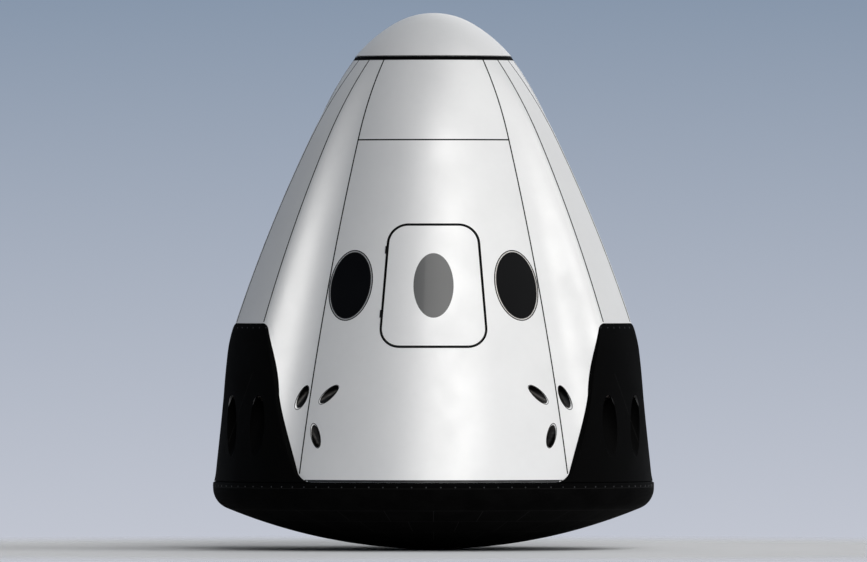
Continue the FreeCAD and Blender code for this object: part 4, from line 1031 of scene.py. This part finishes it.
# ---------------------------------------------------------------- cabin
def clear_of_openings(azimuth, height, spare):
    """Whether the inner wall is whole round a place: no hatch or window there."""
    turn = (azimuth + 180) % 360 - 180
    if abs(turn) < HATCH_HALF + spare and HATCH_LOW - 0.08 < height < HATCH_HIGH + 0.08:
        return False
    for hand in (-1, 1):
        if abs(turn - hand * WINDOW_AZIMUTH) < 9.5 + spare and abs(height - WINDOW_UP) < 0.42:
            return False
    return True


def make_cabin_wall():
    """Rings and stringers of the inner wall, with lining panels' screws between them."""
    ribs, screws = bmesh.new(), bmesh.new()
    section = ((-0.016, -0.002), (-0.016, 0.018), (-0.012, 0.022), (0.012, 0.022),
               (0.016, 0.018), (0.016, -0.002))
    for height in (1.75, 2.2, 2.65, 3.1, 3.45):
        run = []
        for i in range(0, 361, 4):
            found = lining(i, height)
            if found and clear_of_openings(i, height, 2) and i < 360:
                run.append(found)
            else:
                if len(run) > 3:
                    add_sweep(ribs, [p[0] for p in run], [p[1] for p in run], section)
                run = []
    for azimuth in range(10, 360, 20):
        run = []
        for i in range(32):
            height = FLOOR_UP + 0.02 + (CEILING_UP - FLOOR_UP - 0.05) * i / 31
            found = lining(azimuth, height)
            if found and clear_of_openings(azimuth, height, 1):
                run.append(found)
            else:
                if len(run) > 3:
                    add_sweep(ribs, [p[0] for p in run], [p[1] for p in run], section)
                run = []
        if len(run) > 3:
            add_sweep(ribs, [p[0] for p in run], [p[1] for p in run], section)
        for i in range(12):
            height = 1.8 + 0.14 * i
            for hand in (-1.6, 1.6):
                found = lining(azimuth + hand, height)
                if found and clear_of_openings(azimuth + hand, height, 2):
                    fastener(screws, found[0], found[1], 0.006, 0.002, 8)
    finish_mesh("cabin_ribs", ribs, LINER, "hull")
    finish_mesh("cabin_screws", screws, BARE, "hull")


def make_floor_plates():
    """Joints and screws of the cabin floor's plates, a foot rail and handrails."""
    lines, screws, rails = bmesh.new(), bmesh.new(), bmesh.new()
    up = Vector((0, 0, 1))
    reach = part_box("cabin_floor")[1].x - 0.06
    for place in (-1.2, -0.8, -0.4, 0.0, 0.4, 0.8, 1.2):
        half = math.sqrt(max(reach ** 2 - place ** 2, 0.01))
        for along, across in ((Vector((1, 0, 0)), Vector((0, 1, 0))),
                              (Vector((0, 1, 0)), Vector((1, 0, 0)))):
            ends = [across * place + along * (hand * half) + up * FLOOR_UP for hand in (-1, 1)]
            add_sweep(lines, ends, [up, up], strip(0.0025, 0.0006))
            for k in range(-7, 8):
                spot = across * (place + 0.03) + along * (0.2 * k + 0.1) + up * FLOOR_UP
                if spot.xy.length < reach:
                    fastener(screws, spot, up, 0.006, 0.0015, 8)
    for hand in (-1, 1):
        start, end = lining(hand * 27, 3.2), lining(hand * 60, 3.2)
        middle = lining(hand * 43, 3.2)
        spots = [start[0], start[0] + start[1] * 0.05, middle[0] + middle[1] * 0.075,
                 end[0] + end[1] * 0.05, end[0]]
        add_tube(rails, spots, 0.013, 12, 8)
    for x, y in ((-0.9, -0.75), (-0.3, -0.75), (0.3, -0.75), (0.9, -0.75)):
        add_tube(rails, [Vector((x - 0.16, y, FLOOR_UP)), Vector((x - 0.16, y, FLOOR_UP + 0.09)),
                         Vector((x, y, FLOOR_UP + 0.115)), Vector((x + 0.16, y, FLOOR_UP + 0.09)),
                         Vector((x + 0.16, y, FLOOR_UP))], 0.011, 10, 6)
    finish_mesh("floor_joints", lines, DARK_METAL, "hull")
    finish_mesh("floor_screws", screws, BARE, "hull")
    finish_mesh("cabin_rails", rails, FRAME_PAINT, "hull")


def make_display():
    """Three screens with bezels and a row of plain keys, and ribs on the display's back."""
    low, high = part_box("control_display")
    right, up = Vector((1, 0, 0)), Vector((0, 0, 1))
    panel_low = low.z
    bezels, glass, keys, back = (bmesh.new() for _ in range(4))
    face = Vector((0, high.y, panel_low + 0.185))
    for x in (-0.36, 0, 0.36):
        middle = face + right * x
        add_block(bezels, middle + Vector((0, 0.004, 0)), (right, up, right.cross(up)),
                  (0.34, 0.25, 0.016), 0.006, 3)
        add_block(glass, middle + Vector((0, 0.0115, 0)), (right, up, right.cross(up)),
                  (0.312, 0.222, 0.004), 0.0015, 2)
    for i in range(19):
        add_block(keys, Vector((-0.45 + 0.05 * i, high.y + 0.004, panel_low + 0.035)),
                  (right, up, right.cross(up)), (0.03, 0.022, 0.014), 0.004, 3)
    for x in (-0.5, -0.25, 0.25, 0.5):
        add_block(back, Vector((x, low.y - 0.004, panel_low + 0.17)), (right, up, right.cross(up)),
                  (0.02, 0.3, 0.02), 0.004)
    for z in (0.03, 0.31):
        add_block(back, Vector((0, low.y - 0.003, panel_low + z)), (right, up, right.cross(up)),
                  (1.04, 0.02, 0.016), 0.004)
    for hand in (-1, 1):
        run = [Vector((hand * 0.13, low.y - 0.006, panel_low + 0.22)),
               Vector((hand * 0.1, low.y - 0.03, panel_low + 0.27)),
               Vector((hand * 0.05, low.y - 0.02, panel_low + 0.36)),
               Vector((hand * 0.022, low.y - 0.005, panel_low + 0.5)),
               Vector((hand * 0.022, low.y - 0.002, panel_low + 0.9))]
        add_tube(back, run, 0.007, 8, 8)
    for name, build, material, slot in (("screen_bezels", bezels, DARK_METAL, "display"),
                                        ("screen_faces", glass, SCREEN, "display"),
                                        ("screen_keys", keys, FRAME_PAINT, "display"),
                                        ("display_back", back, FRAME_PAINT, "frame_metal")):
        finish_mesh(name, build, material, "hull")


# ---------------------------------------------------------------- cushions and harness
PAD = 0.09
SEAT_WIDE = 0.47
RECLINE = math.radians(25)
ACROSS = Vector((1, 0, 0))
UP_BACK = Vector((0, math.sin(RECLINE), math.cos(RECLINE)))
OUT_BACK = Vector((0, -math.cos(RECLINE), math.sin(RECLINE)))
SEAT_X = (-0.81, -0.27, 0.27, 0.81)


def soft_block(size, seams, cap, voxel, frames=18):
    """A cushion in its own frame: X across, Y along, Z from its shell to its face.

    A rounded block is remeshed, its seam lines are held down, and cloth under pressure
    swells the rest.  It gives the vertices and faces of the result.
    """
    wide, long, thick = size
    inset = 0.008
    build = bmesh.new()
    add_block(build, Vector((0, long / 2, thick / 2)), (ACROSS, Vector((0, 1, 0)), Vector((0, 0, 1))),
              (wide - 2 * inset, long - 2 * inset, thick - inset), 0.022, 4)
    mesh = bpy.data.meshes.new("soft_start")
    build.to_mesh(mesh)
    build.free()
    thing = bpy.data.objects.new("soft_start", mesh)
    scene = bpy.context.scene
    scene.collection.objects.link(thing)
    remesh = thing.modifiers.new("remesh", "REMESH")
    remesh.mode = "VOXEL"
    remesh.voxel_size = voxel
    even = evaluated(thing)
    thing.modifiers.clear()
    thing.data = even
    held = thing.vertex_groups.new(name="held")
    rest = []
    for v in even.vertices:
        x, y, z = v.co
        near = min((seam_distance(x, y, *seam) for seam in seams), default=1)
        if z > thick * 0.6:
            v.co.z -= 0.014 * max(0.0, 1 - (near / 0.022)) ** 1.5
            if near < voxel * 0.6:
                held.add([v.index], 1.0, "REPLACE")
        if z < 0.012:
            held.add([v.index], 1.0, "REPLACE")
        rest.append(v.co.copy())
    cloth = thing.modifiers.new("cloth", "CLOTH")
    cloth.settings.quality = 5
    cloth.settings.use_pressure = True
    cloth.settings.uniform_pressure_force = 4
    cloth.settings.effector_weights.gravity = 0
    cloth.settings.tension_stiffness = 15
    cloth.settings.compression_stiffness = 15
    cloth.settings.bending_stiffness = 0.5
    cloth.settings.vertex_group_mass = "held"
    cloth.point_cache.frame_start, cloth.point_cache.frame_end = 1, frames
    for step in range(1, frames + 1):
        scene.frame_set(step)
    swollen = evaluated(thing)
    thing.modifiers.clear()
    for v, start in zip(swollen.vertices, rest):
        move = v.co - start
        if move.length > cap:
            v.co = start + move * (cap / move.length)
        v.co = (min(max(v.co.x, -wide / 2), wide / 2), min(max(v.co.y, 0), long),
                min(max(v.co.z, 0.001), thick + 0.006))
    thing.data = swollen
    scene.frame_set(1)
    finer = thing.modifiers.new("finer", "SUBSURF")
    finer.levels = 1
    result = evaluated(thing)
    points = [v.co.copy() for v in result.vertices]
    faces = [tuple(p.vertices) for p in result.polygons]
    bpy.data.objects.remove(thing)
    return points, faces


def evaluated(thing):
    """A mesh of what an object's modifiers make of it."""
    graph = bpy.context.evaluated_depsgraph_get()
    graph.update()
    return bpy.data.meshes.new_from_object(thing.evaluated_get(graph))


def seam_distance(x, y, x0, y0, x1, y1):
    """Distance of a place on a cushion's face from a straight seam."""
    along = Vector((x1 - x0, y1 - y0))
    share = ((x - x0) * along.x + (y - y0) * along.y) / along.length_squared
    share = min(max(share, 0), 1)
    return math.hypot(x - x0 - share * along.x, y - y0 - share * along.y)


def seat_frames():
    """Placing matrices of each seat's pan, back and headrest cushions."""
    pan_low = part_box("seat_pans")[0]
    back_low, back_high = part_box("seat_backs")
    head_low, head_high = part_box("headrests")
    lean = PAD * math.sin(RECLINE), PAD * math.cos(RECLINE)
    for x in SEAT_X:
        rows = []
        for low, along, out in ((Vector((x, pan_low.y, pan_low.z)), Vector((0, 1, 0)), Vector((0, 0, 1))),
                                (Vector((x, back_low.y + lean[1], back_low.z)), UP_BACK, OUT_BACK),
                                (Vector((x, head_low.y + lean[1], head_low.z)), UP_BACK, OUT_BACK)):
            matrix = Matrix((ACROSS, along, out)).transposed().to_4x4()
            matrix.translation = low
            rows.append(matrix)
        yield rows


def make_seats():
    """Cushions in place of the plain solids, with piping, stitches, straps and buckles."""
    pan_size = (SEAT_WIDE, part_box("seat_pans")[1].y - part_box("seat_pans")[0].y, PAD)
    back_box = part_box("seat_backs")
    back_long = (back_box[1].z - back_box[0].z - PAD * math.sin(RECLINE)) / math.cos(RECLINE)
    head_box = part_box("headrests")
    head_long = (head_box[1].z - head_box[0].z - PAD * math.sin(RECLINE)) / math.cos(RECLINE)
    kinds = (("pan", pan_size, ((-0.14, 0.03, -0.14, 0.4), (0.14, 0.03, 0.14, 0.4),
                                (-0.14, 0.14, 0.14, 0.14), (-0.14, 0.28, 0.14, 0.28)), 0.012),
             ("back", (SEAT_WIDE, back_long, PAD),
              ((-0.14, 0.03, -0.14, back_long - 0.03), (0.14, 0.03, 0.14, back_long - 0.03),
               *((-0.14, y, 0.14, y) for y in (0.14, 0.25, 0.36, 0.47))), 0.012),
             ("head", (SEAT_WIDE / 2, head_long, PAD), ((0.0, 0.03, 0.0, head_long - 0.03),), 0.01))
    shapes = []
    for name, size, seams, voxel in kinds:
        points, faces = soft_block(size, seams, 0.014, voxel)
        tree = BVHTree.FromPolygons(points, faces)
        shapes.append((name, size, seams, points, faces, tree))
    for index, rows in enumerate(seat_frames()):
        piping, thread = bmesh.new(), bmesh.new()
        for (name, size, seams, points, faces, tree), matrix in zip(shapes, rows):
            mesh = bpy.data.meshes.new(f"seat_{name}_{index + 1}")
            mesh.from_pydata([matrix @ p for p in points], [], faces)
            mesh.shade_smooth()
            mesh.materials.append(FABRIC)
            thing = bpy.data.objects.new(mesh.name, mesh)
            bpy.context.scene.collection.objects.link(thing)
            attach(thing, "hull")
            node = {"pan": "seat_pans", "back": "seat_backs", "head": "headrests"}[name]
            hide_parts(node)
            turn = matrix.to_3x3()
            ring, out = piping_loop(size, tree)
            add_sweep(piping, [matrix @ p for p in ring], [turn @ n for n in out],
                      round_section(0.0035, 8), closed=True)
            for seam in seams:
                add_stitches(thread, seam, tree, matrix, turn, size[2])
        finish_mesh(f"seat_piping_{index + 1}", piping, PIPING, "hull")
        finish_mesh(f"seat_stitches_{index + 1}", thread, PIPING, "hull")
    make_harnesses(shapes)


def piping_loop(size, tree):
    """Points and outward normals of the cord round a cushion's face."""
    wide, long, thick = size
    ring, out = [], []
    middle = Vector((0, long / 2, thick * 0.74))
    for i in range(120):
        angle = 2 * math.pi * i / 120
        away = Vector((math.cos(angle) * wide, math.sin(angle) * long, 0))
        found = tree.ray_cast(middle + away, -away.normalized())
        if found[0]:
            ring.append(found[0])
            out.append(found[1])
    return ring, out


def add_stitches(build, seam, tree, matrix, turn, thick):
    """A double row of short stitches along a seam."""
    x0, y0, x1, y1 = seam
    start, end = Vector((x0, y0, 0)), Vector((x1, y1, 0))
    along = (end - start).normalized()
    across = Vector((-along.y, along.x, 0))
    count = int((end - start).length / 0.011)
    for i in range(count):
        for hand in (-1, 1):
            spot = start + along * (0.011 * (i + 0.5)) + across * (hand * 0.007)
            hit = tree.ray_cast(spot + Vector((0, 0, thick * 2)), Vector((0, 0, -1)))
            if hit[0]:
                normal = hit[1]
                flat = (along - normal * along.dot(normal)).normalized()
                add_block(build, matrix @ (hit[0] + normal * 0.0004),
                          (turn @ flat, turn @ normal.cross(flat), turn @ normal),
                          (0.007, 0.0016, 0.0012))


def strap_path(trees, starts, out, lift=0.0022):
    """Points of a strap lying on cushions below some places, and its normals."""
    path, normals = [], []
    for spot, direction in starts:
        best = None
        for tree in trees:
            hit = tree.ray_cast(spot, -direction)
            if hit[0] and (best is None or hit[3] < best[3]):
                best = hit
        if best:
            path.append(best[0] + best[1] * lift)
            normals.append(best[1])
    smooth = list(path)
    for _ in range(3):
        smooth = [smooth[0]] + [(a + 2 * b + c) / 4 for a, b, c in
                                zip(smooth, smooth[1:], smooth[2:])] + [smooth[-1]]
        smooth = [p if (p - q).dot(n) > 0 else q for p, q, n in zip(smooth, path, normals)]
    return smooth, normals


def make_harnesses(shapes):
    """Shoulder and lap straps on every seat, meeting in a round buckle."""
    flat = ((-0.022, 0), (-0.022, 0.0022), (-0.021, 0.0026), (0.021, 0.0026), (0.022, 0.0022),
            (0.022, 0))
    for index, (pan, back, head) in enumerate(seat_frames()):
        straps, metal = bmesh.new(), bmesh.new()
        trees = []
        for (_, _, _, points, faces, _), matrix in zip(shapes[:2], (pan, back)):
            trees.append(BVHTree.FromPolygons([matrix @ p for p in points], faces))
        out = (Vector((0, 0, 1)) + OUT_BACK).normalized()
        centre = pan @ Vector((0, 0.27, PAD))
        for hand in (-1, 1):
            starts = [(back @ Vector((hand * (0.085 - 0.02 * k / 14), 0.53 - 0.033 * k, 0.3)), OUT_BACK)
                      for k in range(15)]
            starts += [(pan @ Vector((hand * (0.062 - 0.012 * k), 0.385 - 0.028 * k, 0.3)),
                        Vector((0, 0, 1))) for k in range(4)]
            path, normals = strap_path(trees, starts, out)
            add_sweep(straps, path, normals, flat)
            lap = [(pan @ Vector((hand * (0.225 - 0.022 * k), 0.37 - 0.011 * k, 0.3)),
                    Vector((0, 0, 1))) for k in range(10)]
            path, normals = strap_path(trees, lap, out)
            add_sweep(straps, path, normals, flat)
            spot = path[0]
            add_block(metal, spot + Vector((hand * 0.002, 0, 0.002)),
                      (ACROSS, Vector((0, 1, 0)), Vector((0, 0, 1))), (0.012, 0.056, 0.008), 0.002)
        hits = [t.ray_cast(centre + Vector((0, 0, 0.2)), Vector((0, 0, -1))) for t in trees]
        top = max(h[0].z for h in hits if h[0])
        spot = Vector((centre.x, centre.y, top + 0.004))
        add_lathe(metal, ((0.0, 0.0), (0.034, 0.0), (0.036, 0.004), (0.036, 0.014), (0.032, 0.019),
                          (0.02, 0.02), (0.018, 0.017), (0.0, 0.017)), 40, spot, closed=False)
        finish_mesh(f"harness_{index + 1}", straps, WEBBING, "hull")
        finish_mesh(f"buckle_{index + 1}", metal, BARE, "hull")


# ---------------------------------------------------------------- staging
BACK_TOP = (0.2462, 0.3095, 0.4072)
BACK_LOW = (0.5457, 0.5711, 0.6445)


def make_world():
    """Pale blue-grey studio: a gradient behind the part, and even dim light round it."""
    world = bpy.data.worlds.new("studio")
    bpy.context.scene.world = world
    world.use_nodes = True
    tree = world.node_tree
    tree.nodes.clear()

    def add(kind, **values):
        node = tree.nodes.new("ShaderNode" + kind)
        for key, value in values.items():
            setattr(node, key, value)
        return node

    link = tree.links.new
    coords = add("TexCoord")
    split = add("SeparateXYZ")
    link(coords.outputs["Generated"], split.inputs[0])
    rise = add("MapRange")
    rise.inputs["From Min"].default_value = -0.0146
    rise.inputs["From Max"].default_value = 0.0146
    link(split.outputs["Z"], rise.inputs["Value"])
    shade = add("Mix", data_type="RGBA")
    link(rise.outputs[0], shade.inputs["Factor"])
    shade.inputs[6].default_value = (*BACK_LOW, 1)
    shade.inputs[7].default_value = (*BACK_TOP, 1)
    seen = add("Background")
    link(shade.outputs[2], seen.inputs["Color"])
    ambient = add("Background")
    ambient.inputs["Color"].default_value = (0.93, 0.96, 1.0, 1)
    ambient.inputs["Strength"].default_value = AMBIENT
    path = add("LightPath")
    either = add("Math", operation="MAXIMUM")
    link(path.outputs["Is Camera Ray"], either.inputs[0])
    link(path.outputs["Is Glossy Ray"], either.inputs[1])
    any_of = add("Math", operation="MAXIMUM")
    link(either.outputs[0], any_of.inputs[0])
    link(path.outputs["Is Transmission Ray"], any_of.inputs[1])
    mix = add("MixShader")
    link(any_of.outputs[0], mix.inputs[0])
    link(ambient.outputs[0], mix.inputs[1])
    link(seen.outputs[0], mix.inputs[2])
    out = add("OutputWorld")
    link(mix.outputs[0], out.inputs[0])


AMBIENT = 0.02
# Soft lamps: name, azimuth, elevation, strength, width of the light in degrees.
LAMPS = (("key", 10, 28, 1.3, 30),
         ("fill", 64, 40, 1.4, 60),
         ("back_left", -165, 25, 0.2, 60),
         ("back_right", 150, 25, 0.6, 60))


def make_lamps():
    for name, azimuth, elevation, strength, width in LAMPS:
        light = bpy.data.lights.new(name, "SUN")
        light.energy = strength
        light.angle = math.radians(width)
        light.color = (1.0, 0.985, 0.955)
        lamp = bpy.data.objects.new(name, light)
        bpy.context.scene.collection.objects.link(lamp)
        high = math.radians(elevation)
        lamp.location = at(azimuth, 12 * math.cos(high), 12 * math.sin(high))
        lamp.rotation_euler = lamp.location.to_track_quat("Z", "Y").to_euler()


def make_floor():
    """A plain pale floor that fades out into the background."""
    build = bmesh.new()
    rings, count = (0.0, 2, 4, 6, 8, 10, 12), 96
    add_lathe(build, [(r, -0.001) for r in rings], count, closed=False)
    thing = finish_mesh("floor", build, floor_finish(), None)


def floor_finish():
    material, shader, add, link = mesh_nodes("floor_finish")
    set_shader(shader, 0.9, specular=0.1)
    coords = add("TexCoord").outputs["Object"]
    link(varied(add, coords, 2, (0.8, 0.82, 0.86), (0.82, 0.84, 0.88), 3),
         shader.inputs["Base Color"])
    length = add("VectorMath", {0: coords}, operation="LENGTH").outputs["Value"]
    fade = add("MapRange", {"Value": length, "From Min": 4.5, "From Max": 10.0,
                            "To Min": 1.0, "To Max": 0.0}, interpolation_type="SMOOTHSTEP")
    link(fade.outputs[0], shader.inputs["Alpha"])
    return material


LENS = 800
SENSOR = 36
VIEW_WIDE = 7.864
CAMERA_UP = 2.431


def make_camera():
    """A very long lens straight in front of the hatch, for a view with no perspective."""
    data = bpy.data.cameras.new("camera")
    data.lens = LENS
    data.sensor_width = SENSOR
    away = VIEW_WIDE * LENS / SENSOR
    data.clip_start, data.clip_end = 1, 4 * away
    camera = bpy.data.objects.new("camera", data)
    bpy.context.scene.collection.objects.link(camera)
    camera.location = (0, -away, CAMERA_UP)
    camera.rotation_euler = (math.radians(90), 0, 0)
    bpy.context.scene.camera = camera


make_seams()
make_panel_feet()
make_nose_line()
make_windows()
make_thruster_rims()
make_hatch_edges()
make_hatch_inside()
make_tile_gaps()
make_base_details()
make_docking_details()
make_nose_details()
make_lid_details()
make_cabin_wall()
make_floor_plates()
make_display()
make_seats()
make_world()
make_lamps()
make_floor()
make_camera()
bpy.context.scene.view_settings.view_transform = "Standard"
